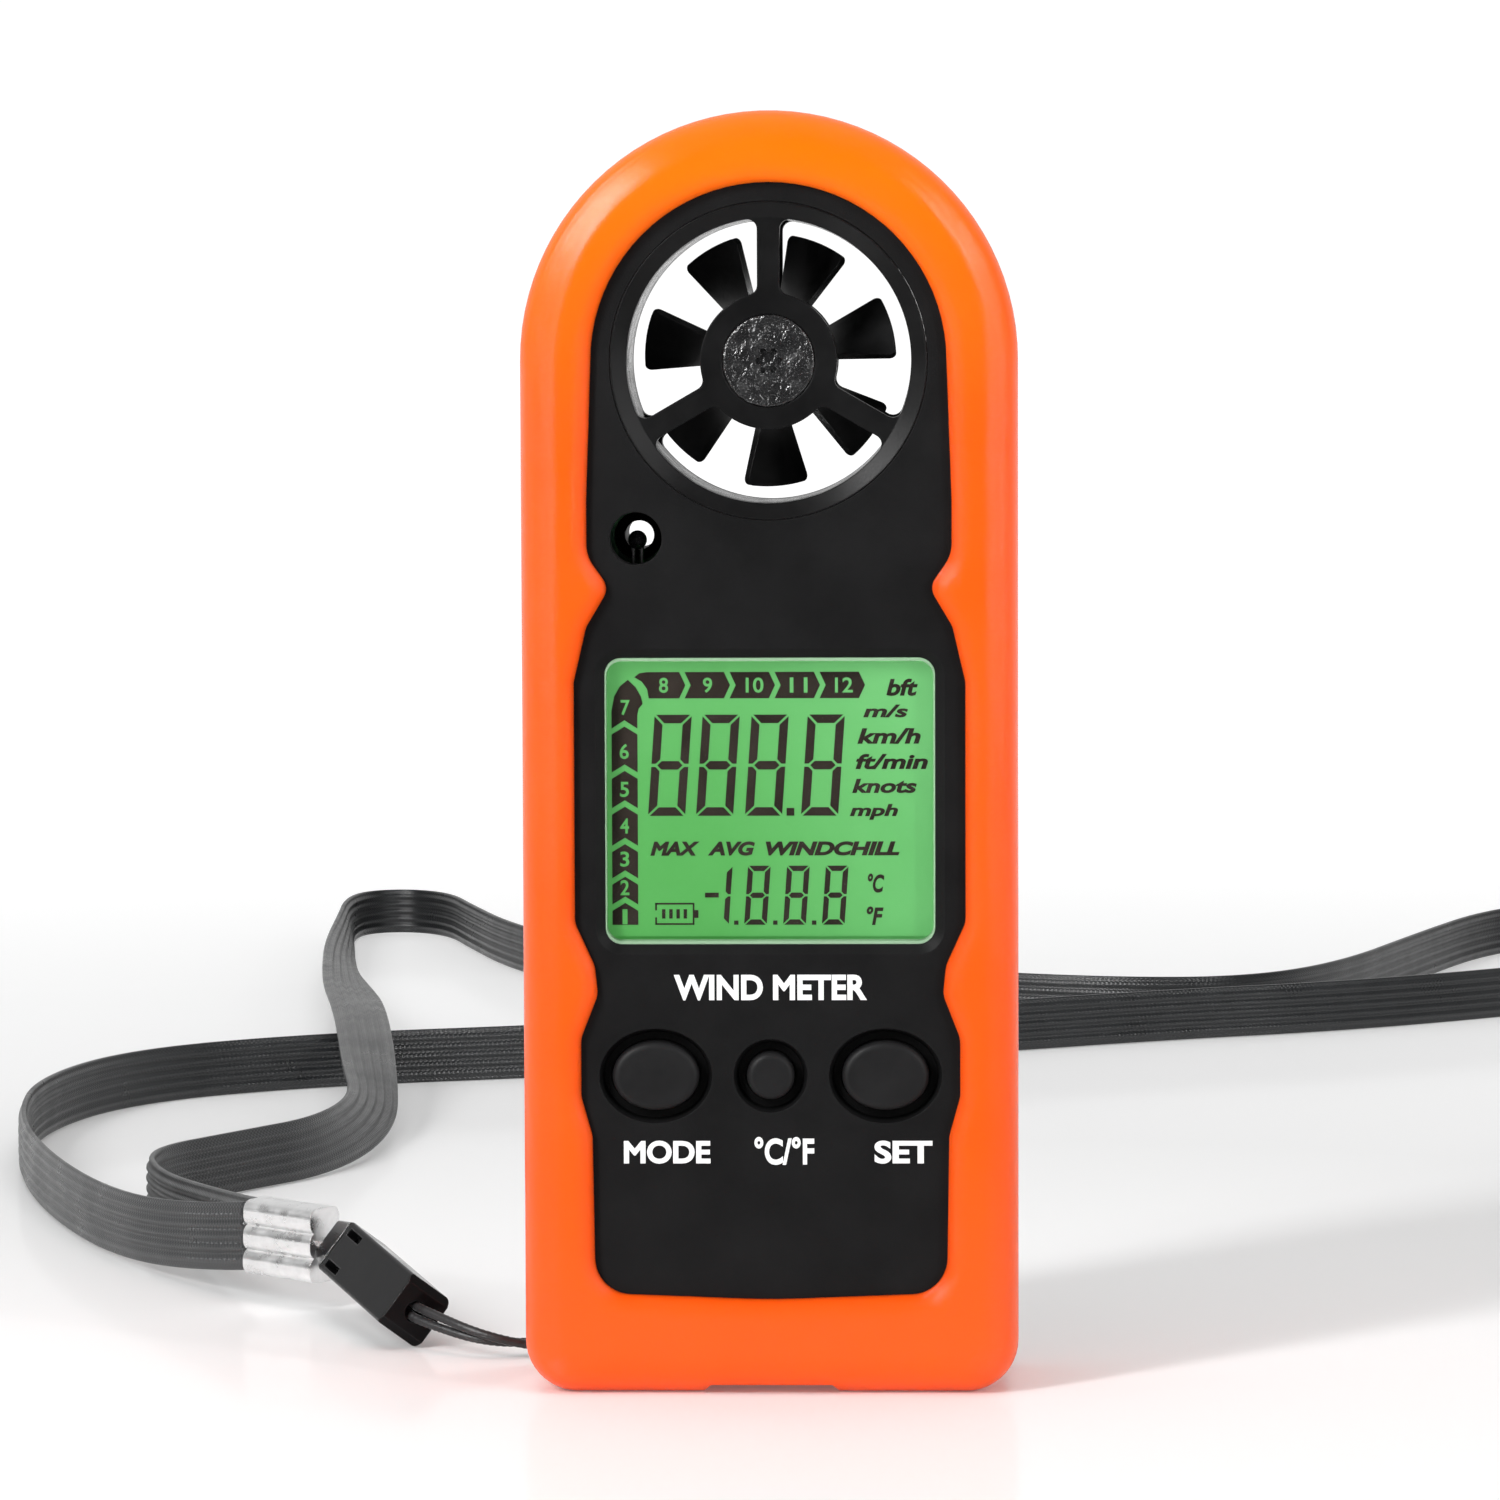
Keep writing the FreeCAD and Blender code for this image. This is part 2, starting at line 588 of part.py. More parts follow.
def board_screws():
    screws = []
    for x, z in BOARD_SPOTS:
        head = rod(1.5, BOARD_BACK, BOARD_BACK + 1.0, x, z)
        head = head.cut(box(x - 1.2, x + 1.2, BOARD_BACK + 0.5, 1, z - 0.2, z + 0.2))
        screws.append(head.fuse(rod(BOARD_SCREW, -5.4, BOARD_BACK, x, z)))
    return Part.makeCompound(screws)


def controller_chip():
    chip = box(-5, 5, BOARD_BACK, BOARD_BACK + 1.4, 48, 58)
    return chip.makeChamfer(0.2, edges_at_depth(chip, BOARD_BACK + 1.4, lambda c: True))


def crystal_can():
    can = Part.makeCylinder(1.0, 6.0, V(9.5, BOARD_BACK + 1.0, 49), V(0, 0, 1))
    return can.makeFillet(0.3, [e for e in can.Edges if e.BoundBox.ZLength < 0.01 and e.Length > 4])


def board_parts():
    parts = []
    for row, z in enumerate((45.0, 60.5)):
        for column in range(5):
            x = -8.0 + 4.0 * column
            parts.append(box(x - 0.8, x + 0.8, BOARD_BACK, BOARD_BACK + 0.6 + 0.2 * row, z - 0.4, z + 0.4))
    return Part.makeCompound(parts)


def thermistor():
    return Part.makeSphere(0.78, V(SENSOR_X, BEAD_Y, SENSOR_Z - 0.25))


def thermistor_leads():
    leads = []
    bead = thermistor()
    for x in (SENSOR_X - 0.35, SENSOR_X + 0.35):
        corners = [(V(x, BEAD_Y, SENSOR_Z - 0.5), 0), (V(x, BEAD_Y, SENSOR_Z - 3.4), 0.6),
                   (V(x, BOARD_FRONT, SENSOR_Z - 3.4), 0)]
        wire = Part.Wire(rounded_edges(corners, False))
        profile = Part.Wire(Part.Circle(corners[0][0], V(0, 0, 1), 0.18).toShape())
        leads.append(wire.makePipeShell([profile], True, False).cut(bead))
    return Part.makeCompound(leads)


# ---- keys ---------------------------------------------------------------------------
KEY_TOP = CASE_FRONT - 0.3
FLANGE_FRONT = INNER_FRONT + 0.05
FLANGE_BACK = FLANGE_FRONT + 0.7
PLUNGER_FRONT = -4.4


def key(half, x):
    """A silicone key: crowned top, retaining flange and the post that presses its switch."""
    top = oval(half, KEY_TOP, FLANGE_BACK, x, KEY_Z)
    top = top.makeFillet(0.55, edges_at_depth(top, KEY_TOP, lambda c: True))
    flange = oval(grow(half, 0.75), FLANGE_FRONT, FLANGE_BACK, x, KEY_Z)
    post = rod(1.2, FLANGE_BACK - 0.1, PLUNGER_FRONT, x, KEY_Z)
    return fused([top, flange, post])


def plunger(x):
    return rod(0.9, PLUNGER_FRONT, -2.85, x, KEY_Z)


def keypad_mat():
    mat = block(15.2, 20.6, 32.4, 2.0, FLANGE_FRONT, FLANGE_BACK)
    for _, x, half in key_places():
        mat = mat.cut(oval(grow(half, 0.95), INNER_FRONT - 1, 0, x, KEY_Z))
    return mat


def switch_bodies():
    bodies = []
    for _, x, _ in key_places():
        body = box(x - 2.2, x + 2.2, -3.8, BOARD_FRONT, KEY_Z - 2.2, KEY_Z + 2.2)
        bodies.append(body.cut(rod(1.0, -4, -2.2, x, KEY_Z)))
    return Part.makeCompound(bodies)


# ---- battery ------------------------------------------------------------------------
def coin_cell():
    can = rod(CELL_RADIUS, CELL_FRONT + 0.5, CELL_BACK, 0, CELL_Z)
    can = can.makeFillet(0.4, edges_at_depth(can, CELL_BACK, lambda c: True))
    return can.fuse(rod(8.7, CELL_FRONT, CELL_FRONT + 0.5, 0, CELL_Z)).removeSplitter()


def negative_contact():
    plate_y = CUP_FLOOR + 0.8
    spring = rod(4.0, plate_y, CELL_FRONT, 0, CELL_Z)
    spring = spring.cut(rod(2.6, plate_y + 0.3, CELL_FRONT + 1, 0, CELL_Z))
    return spring.fuse(rod(0.4, BOARD_BACK, plate_y + 0.1, 0, CELL_Z))


def positive_contact():
    return lug_sector(CELL_RADIUS + 0.02, CUP_INNER - 0.02, CUP_FLOOR + 0.85, INNER_BACK - 0.9, 90, 50)


def battery_door():
    door = rod(DOOR_RADIUS, INNER_BACK + 0.05, CASE_BACK, 0, CELL_Z)
    door = door.makeFillet(0.35, edges_at_depth(door, CASE_BACK, lambda c: True))
    rim = ring(DOOR_RADIUS, CUP_OUTER + 0.1, INNER_BACK - 0.75, INNER_BACK + 0.1, 0, CELL_Z)
    parts = [door, rim]
    for angle in LUG_ANGLES:
        lug = lug_sector(DOOR_RADIUS - 0.2, LUG_RADIUS, INNER_BACK - 0.75, INNER_BACK - 0.15, angle, 20)
        parts.append(lug)
    body = fused(parts)
    slot = box(-7.5, 7.5, CASE_BACK - 0.9, BACK, CELL_Z - 0.95, CELL_Z + 0.95)
    return body.cut(slot)


def door_seal():
    return Part.makeTorus(10.9, 0.36, V(0, INNER_BACK - 0.4, CELL_Z), V(0, 1, 0))


def lanyard_pin():
    return Part.makeCylinder(PIN_RADIUS, 9.9, V(-4.95, PIN_Y, PIN_Z), V(1, 0, 0))


# ---- lanyard ------------------------------------------------------------------------
HEAD_LENGTH = 4.5
PRONG_END = 11.0
SOCKET_FRONT = HEAD_LENGTH + 0.1
SOCKET_HALF = 2.55              # half width
SOCKET_DEPTH = 2.2              # half depth
TAIL_HALF = (1.9, 1.4)          # the plug's half width and half depth at its crimp end
CAVITY = (1.75, 1.1)
PRONG = (0.75, 1.6)             # nearest and farthest side of a prong
PRONG_DEPTH = 0.9
POCKET = (1.3, 2.0)             # the two pockets in the socket's broad face
POCKET_LENGTH = 4.4
STRING_HOLE = 0.95
HOLE_DEPTH = 3.0
CRIMP_HALF = 1.95               # half depth of the crimp, across both layers of strap
LOBES = ((-2.2, 1.15), (0.0, 1.2), (2.2, 1.15))     # middle height and half height of each
TONGUE = (0.9, 0.45)


def leaning(heading, pitch, roll):
    turn = FreeCAD.Rotation(V(0, 0, 1), heading)
    turn = turn.multiply(FreeCAD.Rotation(V(0, 1, 0), pitch))
    return turn.multiply(FreeCAD.Rotation(V(1, 0, 0), roll))


def clip_placement():
    """From the clip's own frame, X along it and Z through its broad face, to where it lies."""
    turn = leaning(CLIP_HEADING, CLIP_PITCH, CLIP_ROLL)
    return FreeCAD.Placement(V(*STRING_ROUTE[-1]) - turn.multVec(V(CLIP_LENGTH, 0, 0)), turn)


def crimp_placement():
    """The crimp's own frame: X from the strap's ends to the plug, Z up."""
    turn = leaning(CRIMP_HEADING, CRIMP_PITCH, 0)
    joint = clip_placement().multVec(V(1.0, 0, 0))
    return FreeCAD.Placement(joint - turn.multVec(V(CRIMP_LENGTH + 2.0, 0, 0)), turn)


def laid(shape, place):
    copy = shape.copy()
    copy.Placement = place.multiply(copy.Placement)
    return copy


def section(x, half_y, half_z):
    corners = [V(x, -half_y, -half_z), V(x, half_y, -half_z), V(x, half_y, half_z), V(x, -half_y, half_z)]
    return Part.makePolygon(corners + corners[:1])


def edges_across(shape, x):
    return [e for e in shape.Edges if abs(e.BoundBox.XMin - x) < 1e-4 and abs(e.BoundBox.XMax - x) < 1e-4]


def strap_crimp():
    """A folded metal sleeve pressed into three lobes, and the tongue that hooks into the plug."""
    lobes = []
    for z, half in LOBES:
        lobe = box(0, CRIMP_LENGTH, -CRIMP_HALF, CRIMP_HALF, z - half, z + half)
        lengthwise = [e for e in lobe.Edges if e.BoundBox.XLength > 1]
        lobes.append(lobe.makeFillet(0.95, lengthwise))
    tongue = box(CRIMP_LENGTH - 1, CRIMP_LENGTH + 2.0, -TONGUE[0], TONGUE[0], -TONGUE[1], TONGUE[1])
    return laid(fused(lobes + [tongue]), crimp_placement())


def clip_plug():
    wires = [section(0, *TAIL_HALF), section(HEAD_LENGTH, SOCKET_HALF, SOCKET_DEPTH)]
    head = Part.makeLoft(wires, True, True)
    head = head.makeFillet(0.45, [e for e in head.Edges if e.BoundBox.XLength > 3])
    parts = [head]
    for side in (-1, 1):
        inner, outer = sorted((side * PRONG[0], side * PRONG[1]))
        parts.append(box(HEAD_LENGTH - 0.2, PRONG_END, inner, outer, -PRONG_DEPTH, PRONG_DEPTH))
    return laid(fused(parts), clip_placement()).cut(strap_crimp())


def clip_socket():
    body = box(SOCKET_FRONT, CLIP_LENGTH, -SOCKET_HALF, SOCKET_HALF, -SOCKET_DEPTH, SOCKET_DEPTH)
    body = body.makeChamfer(0.7, [e for e in edges_across(body, CLIP_LENGTH) if e.BoundBox.ZLength > 1])
    body = body.makeFillet(0.4, [e for e in body.Edges if e.BoundBox.XLength > 5])
    body = body.makeChamfer(0.3, edges_across(body, SOCKET_FRONT))
    half_y, half_z = CAVITY
    body = body.cut(box(HEAD_LENGTH, PRONG_END + 0.8, -half_y, half_y, -half_z, half_z))
    for side in (-1, 1):
        near, far = sorted((side * POCKET[0], side * POCKET[1]))
        pocket_end = SOCKET_FRONT + POCKET_LENGTH
        body = body.cut(box(SOCKET_FRONT + 0.9, pocket_end, near, far, 0, SOCKET_DEPTH + 1))
    hole_start = V(CLIP_LENGTH - HOLE_DEPTH, 0, 0)
    body = body.cut(Part.makeCylinder(STRING_HOLE, HOLE_DEPTH + 1, hole_start, V(1, 0, 0)))
    return laid(body, clip_placement())


def lanyard_string():
    inside = clip_placement().multVec(V(CLIP_LENGTH - HOLE_DEPTH, 0, 0))
    wire = route_wire(STRING_ROUTE + [tuple(inside)], "lanyard_string")
    radius = STRING_DIAMETER / 2
    start = wire.Edges[0]
    profile = Part.Wire(Part.Circle(wire.Vertexes[0].Point,
                                    start.tangentAt(start.FirstParameter), radius).toShape())
    tube = wire.makePipeShell([profile], True, False)
    report_volume("lanyard_string", tube, math.pi * radius ** 2, wire.Length)
    return tube.cut(lanyard_pin()).cut(clip_socket())


def neck_strap():
    """The flat strap on its edge, a loop with both ends in the crimp."""
    place = crimp_placement()
    first = place.multVec(V(0, -STRAP_LAYER, 0))
    last = place.multVec(V(0, STRAP_LAYER, 0))
    route = [tuple(first)] + STRAP_ROUTE + [tuple(last)]
    wire = route_wire(route, "neck_strap")
    edge = wire.Edges[0]
    start = wire.Vertexes[0].Point
    along = edge.tangentAt(edge.FirstParameter)
    across = along.cross(V(0, 0, 1)).normalize()
    up = across.cross(along).normalize()
    a = across * (STRAP_THICKNESS / 2)
    b = up * (STRAP_WIDTH / 2)
    corners = [start + a + b, start - a + b, start - a - b, start + a - b]
    maker = Part.BRepOffsetAPI.MakePipeShell(wire)
    maker.setBiNormalMode(V(0, 0, 1))
    maker.add(Part.makePolygon(corners + corners[:1]))
    maker.build()
    maker.makeSolid()
    strap = maker.shape()
    report_volume("neck_strap", strap, STRAP_THICKNESS * STRAP_WIDTH, wire.Length)
    return strap.cut(strap_crimp())


# ---- all sub-parts ------------------------------------------------------------------
def build():
    nodes = {
        "rubber_sleeve": rubber_sleeve(),
        "front_case": front_case(),
        "rear_case": rear_case(),
        "case_screws": case_screws(),
        "front_guard": mirrored_depth(guard()),
        "rear_guard": rear_guard(),
        "front_guard_cap": mirrored_depth(guard_cap(True)),
        "rear_guard_cap": guard_cap(False),
        "duct_ring": ring(GUARD_RADIUS, THROAT, -GUARD_RIM + 0.05, GUARD_RIM - 0.05, 0, HUB_Z),
        "impeller": impeller(),
        "impeller_shaft": rod(0.5, -SHAFT_END, SHAFT_END, 0, HUB_Z),
        "impeller_magnet": ring(2.6, 0.5, 2.3, 3.15, 0, HUB_Z),
        "front_bearing": mirrored_depth(bearing()),
        "rear_bearing": bearing(),
        "hall_sensor": hall_sensor(),
        "hall_cable": hall_cable(),
        "thermistor_bead": thermistor(),
        "thermistor_leads": thermistor_leads(),
        "lcd_window": lcd_window(),
        "lcd_glass": lcd_glass(),
        "lcd_holder": lcd_holder(),
        "lcd_backlight": lcd_backlight(),
        "backlight_leds": backlight_leds(),
        "zebra_strip": zebra_strip(),
        "main_board": main_board(),
        "board_screws": board_screws(),
        "controller_chip": controller_chip(),
        "crystal_can": crystal_can(),
        "board_parts": board_parts(),
        "keypad_mat": keypad_mat(),
        "switch_bodies": switch_bodies(),
        "coin_cell": coin_cell(),
        "negative_contact": negative_contact(),
        "positive_contact": positive_contact(),
        "battery_door": battery_door(),
        "door_seal": door_seal(),
        "lanyard_pin": lanyard_pin(),
        "lanyard_string": lanyard_string(),
        "clip_socket": clip_socket(),
        "clip_plug": clip_plug(),
        "strap_crimp": strap_crimp(),
        "neck_strap": neck_strap(),
    }
    for name, x, half in key_places():
        nodes[name + "_key"] = key(half, x)
        nodes[name + "_plunger"] = plunger(x)
    return nodes


os.makedirs("parts", exist_ok=True)
for node, shape in build().items():
    good = shape.isValid() and all(solid.isClosed() for solid in shape.Solids)
    bounds = shape.BoundBox
    print(node, "solids", len(shape.Solids), "volume", round(shape.Volume, 2),
          "y", round(bounds.YMin, 2), round(bounds.YMax, 2), "z", round(bounds.ZMin, 2),
          "" if good and shape.Volume > 0 else "NOT A GOOD SOLID")
    shape.exportStep("parts/" + node + ".step")
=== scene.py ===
"""Looks of the handheld weather meter and its lanyard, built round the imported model."""
import math

import bmesh
import bpy
import numpy as np
from mathutils import Matrix, Vector


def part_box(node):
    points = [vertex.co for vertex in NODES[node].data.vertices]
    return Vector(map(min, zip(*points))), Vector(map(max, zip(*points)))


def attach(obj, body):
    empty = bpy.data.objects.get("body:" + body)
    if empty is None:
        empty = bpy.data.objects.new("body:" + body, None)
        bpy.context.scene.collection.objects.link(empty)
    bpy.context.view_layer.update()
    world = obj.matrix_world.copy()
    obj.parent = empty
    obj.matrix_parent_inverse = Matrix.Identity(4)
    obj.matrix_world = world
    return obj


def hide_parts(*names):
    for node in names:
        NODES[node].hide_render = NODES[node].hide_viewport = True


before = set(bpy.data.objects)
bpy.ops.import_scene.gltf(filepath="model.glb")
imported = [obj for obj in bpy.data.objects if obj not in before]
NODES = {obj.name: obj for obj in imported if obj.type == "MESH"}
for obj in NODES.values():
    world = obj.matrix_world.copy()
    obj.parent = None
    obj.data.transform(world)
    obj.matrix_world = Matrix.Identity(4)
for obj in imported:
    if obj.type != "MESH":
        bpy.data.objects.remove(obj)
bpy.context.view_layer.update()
MM = 0.001
scene = bpy.context.scene
scene.view_settings.view_transform = "Standard"


# ---- shader node helpers ------------------------------------------------------------
def add_node(tree, kind, settings=None, **sockets):
    """A new node with its settings and sockets; a socket's name has _ for each space."""
    made = tree.nodes.new(kind)
    for key, value in (settings or {}).items():
        setattr(made, key, value)
    for key, value in sockets.items():
        made.inputs[key.replace("_", " ")].default_value = value
    return made


def feed(tree, value, socket):
    """Put a number, a colour or another node's output into a socket."""
    if isinstance(value, (int, float)):
        socket.default_value = value
    elif isinstance(value, (tuple, list)):
        socket.default_value = (*value[:3], 1)
    else:
        tree.links.new(value, socket)


def math_node(tree, operation, first, second=None):
    made = add_node(tree, "ShaderNodeMath", {"operation": operation})
    feed(tree, first, made.inputs[0])
    if second is not None:
        feed(tree, second, made.inputs[1])
    return made.outputs[0]


def noise(tree, coordinates, size_mm, detail=3.0, roughness=0.55):
    made = add_node(tree, "ShaderNodeTexNoise", Scale=1 / (size_mm * MM), Detail=detail,
                    Roughness=roughness)
    tree.links.new(coordinates, made.inputs["Vector"])
    return made.outputs["Fac"]


def between(tree, value, low, high, start=0.0, end=1.0):
    """From low to high as value goes from start to end, and no further."""
    made = add_node(tree, "ShaderNodeMapRange", From_Min=start, From_Max=end, To_Min=low,
                    To_Max=high)
    tree.links.new(value, made.inputs["Value"])
    return made.outputs[0]


def blend_colors(tree, factor, first, second):
    made = add_node(tree, "ShaderNodeMix", {"data_type": "RGBA"})
    tree.links.new(factor, made.inputs["Factor"])
    color_inputs = [s for s in made.inputs if s.type == "RGBA"]
    feed(tree, first, color_inputs[0])
    feed(tree, second, color_inputs[1])
    return [s for s in made.outputs if s.type == "RGBA"][0]


def mix_shaders(tree, factor, first, second):
    """The first shader where factor is 0, the second where it is 1."""
    made = add_node(tree, "ShaderNodeMixShader")
    feed(tree, factor, made.inputs[0])
    tree.links.new(first.outputs[0], made.inputs[1])
    tree.links.new(second.outputs[0], made.inputs[2])
    return made


def axis_of(tree, coordinates, axis):
    split = add_node(tree, "ShaderNodeSeparateXYZ")
    tree.links.new(coordinates, split.inputs[0])
    return split.outputs[axis]


# ---- camera and studio --------------------------------------------------------------
CAMERA_PLACE = (0.0111, -0.509, 0.0889)
CAMERA_TARGET = (-0.0018, 0.0, 0.05246)
CAMERA_ROLL = math.radians(-0.207)
CAMERA_LENS = 147.9


def aim(place, target, roll=0.0):
    """The matrix of a camera or light at place that looks at target."""
    direction = Vector(target) - Vector(place)
    turn = direction.to_track_quat("-Z", "Y").to_matrix().to_4x4()
    return Matrix.Translation(place) @ turn @ Matrix.Rotation(roll, 4, "Z")


def make_camera():
    data = bpy.data.cameras.new("camera")
    data.lens = CAMERA_LENS
    data.sensor_width = 36.0
    data.clip_start = 0.01
    data.clip_end = 100.0
    camera = bpy.data.objects.new("camera", data)
    scene.collection.objects.link(camera)
    camera.matrix_world = aim(CAMERA_PLACE, CAMERA_TARGET, CAMERA_ROLL)
    scene.camera = camera


def softbox(name, place, target, size, power, glossy=True, diffuse=True):
    """An area light, which shiny or matt surfaces can be told to leave out."""
    data = bpy.data.lights.new(name, "AREA")
    data.shape = "RECTANGLE"
    data.size, data.size_y = size
    data.energy = power
    light = bpy.data.objects.new(name, data)
    scene.collection.objects.link(light)
    light.visible_glossy = glossy
    light.visible_diffuse = diffuse
    light.matrix_world = aim(place, target)


def make_lights():
    """Soft light from the upper left, with strips and gleams that draw the holster's edges."""
    middle = (0.0, 0.0, 0.06)
    softbox("key_light", (-0.40, -0.42, 0.42), (0.0, 0.0, 0.08), (0.08, 0.30), 3.2)
    softbox("fill_light", (0.48, -0.32, 0.22), middle, (0.30, 0.40), 0.5)
    softbox("top_light", (0.0, -0.10, 0.62), middle, (0.50, 0.40), 1.6, glossy=False)
    softbox("left_strip", (-0.34, -0.46, 0.08), middle, (0.022, 0.40), 1.0)
    softbox("right_strip", (0.42, -0.36, 0.16), middle, (0.022, 0.34), 0.8)
    softbox("left_gleam", (-0.37, -0.36, 0.40), middle, (0.10, 0.22), 2.6, diffuse=False)
    softbox("right_gleam", (0.37, -0.38, 0.36), middle, (0.08, 0.20), 1.0, diffuse=False)


def make_world():
    """White behind the meter and to the eye, and dim on the camera's side, as a studio is."""
    white = (1, 1, 1, 1)
    world = bpy.data.worlds.new("studio")
    scene.world = world
    world.use_nodes = True
    tree = world.node_tree
    tree.nodes.clear()
    output = add_node(tree, "ShaderNodeOutputWorld")
    seen = add_node(tree, "ShaderNodeBackground", Color=white, Strength=1.05)
    lit = add_node(tree, "ShaderNodeBackground", Color=white)
    ray = add_node(tree, "ShaderNodeLightPath")
    place = add_node(tree, "ShaderNodeTexCoord")
    depth = axis_of(tree, place.outputs["Generated"], "Y")
    strength = between(tree, depth, 0.06, 0.7, start=-0.35, end=0.55)
    tree.links.new(strength, lit.inputs["Strength"])
    sky = mix_shaders(tree, ray.outputs["Is Camera Ray"], lit, seen)
    tree.links.new(sky.outputs[0], output.inputs[0])


MIRROR_SHARE = 0.16


def floor_material():
    """Matt white with a weak, soft mirror in it.

    It glows away from the meter, so that it runs into the white room. Before the meter it
    is dark to reflections, as the dim side of a studio is.
    """
    material = bpy.data.materials.new("floor_white")
    material.use_nodes = True
    tree = material.node_tree
    tree.nodes.clear()
    output = add_node(tree, "ShaderNodeOutputMaterial")
    matte = add_node(tree, "ShaderNodeBsdfDiffuse", Color=(0.84, 0.84, 0.84, 1))
    glow = add_node(tree, "ShaderNodeEmission")
    mirror = add_node(tree, "ShaderNodeBsdfGlossy", Roughness=0.10)
    dark = add_node(tree, "ShaderNodeEmission", Strength=0.05)
    ray = add_node(tree, "ShaderNodeLightPath")
    place = add_node(tree, "ShaderNodeTexCoord").outputs["Object"]
    away = add_node(tree, "ShaderNodeVectorMath", {"operation": "LENGTH"})
    tree.links.new(place, away.inputs[0])
    brightness = between(tree, away.outputs["Value"], 0.10, 0.95, start=0.15, end=0.7)
    tree.links.new(brightness, glow.inputs["Strength"])
    both = add_node(tree, "ShaderNodeAddShader")
    tree.links.new(matte.outputs[0], both.inputs[0])
    tree.links.new(glow.outputs[0], both.inputs[1])
    before = between(tree, axis_of(tree, place, "Y"), 0.0, 1.0, start=-0.02, end=-0.14)
    mask = math_node(tree, "MULTIPLY", before, ray.outputs["Is Glossy Ray"])
    surface = mix_shaders(tree, mask, mix_shaders(tree, MIRROR_SHARE, both, mirror), dark)
    tree.links.new(surface.outputs[0], output.inputs[0])
    return material


def make_floor():
    reach = 20.0
    mesh = bpy.data.meshes.new("floor")
    corners = [(-reach, -reach, 0), (reach, -reach, 0), (reach, reach, 0), (-reach, reach, 0)]
    mesh.from_pydata(corners, [], [(0, 1, 2, 3)])
    mesh.materials.append(floor_material())
    floor = bpy.data.objects.new("floor", mesh)
    scene.collection.objects.link(floor)


make_camera()
make_world()
make_lights()
make_floor()


# ---- mesh helpers -------------------------------------------------------------------
def piece(name, verts, faces, material, body, smooth=True):
    """A mesh from millimetre vertices that rides on a body."""
    mesh = bpy.data.meshes.new(name)
    mesh.from_pydata([tuple(v) for v in np.asarray(verts, float) * MM], [], faces)
    shape = bmesh.new()
    shape.from_mesh(mesh)
    bmesh.ops.recalc_face_normals(shape, faces=shape.faces)
    shape.to_mesh(mesh)
    shape.free()
    mesh.polygons.foreach_set("use_smooth", [smooth] * len(mesh.polygons))
    mesh.materials.append(material)
    made = bpy.data.objects.new(name, mesh)
    scene.collection.objects.link(made)
    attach(made, body)
    return made


def skin(rings):
    """Vertices and faces of a capped tube through equal rings of points."""
    count, size = rings.shape[:2]
    faces = []
    for start in range(0, (count - 1) * size, size):
        for k in range(size):
            m = (k + 1) % size
            faces.append((start + k, start + m, start + size + m, start + size + k))
    faces.append(tuple(range(size - 1, -1, -1)))
    faces.append(tuple(range((count - 1) * size, count * size)))
    return rings.reshape(-1, 3), faces


def gather(parts):
    """Several (vertices, faces) as one."""
    verts, faces, start = [], [], 0
    for part_verts, part_faces in parts:
        verts.extend(part_verts)
        faces.extend(tuple(start + i for i in face) for face in part_faces)
        start += len(part_verts)
    return verts, faces


def nurbs_samples(rows, resolution):
    """Points read from one NURBS line per row of control points, in millimetres."""
    curve = bpy.data.curves.new("route", "CURVE")
    curve.dimensions = "3D"
    curve.resolution_u = resolution
    for row in rows:
        spline = curve.splines.new("NURBS")
        spline.points.add(len(row) - 1)
        for point, place in zip(spline.points, row):
            point.co = (*place, 1.0)
        spline.order_u = 3
        spline.use_endpoint_u = True
    holder = bpy.data.objects.new("route", curve)
    mesh = bpy.data.meshes.new_from_object(holder)
    points = np.array([v.co for v in mesh.vertices], float)
    bpy.data.objects.remove(holder)
    bpy.data.curves.remove(curve)
    bpy.data.meshes.remove(mesh)
    return np.split(points, len(rows))


def unit(vectors):
    return vectors / np.linalg.norm(vectors, axis=-1, keepdims=True)


def tangents(points):
    return unit(np.gradient(points, axis=0))


def distances(points):
    """How far along its line each point lies."""
    steps = np.linalg.norm(np.diff(points, axis=0), axis=1)
    return np.concatenate([[0], np.cumsum(steps)])


# ---- materials ----------------------------------------------------------------------
def shade(color, factor):
    return tuple(min(1.0, c * factor) for c in color)


CLOUD_RANGE = (0.3, 0.7)           # noise seldom leaves this range


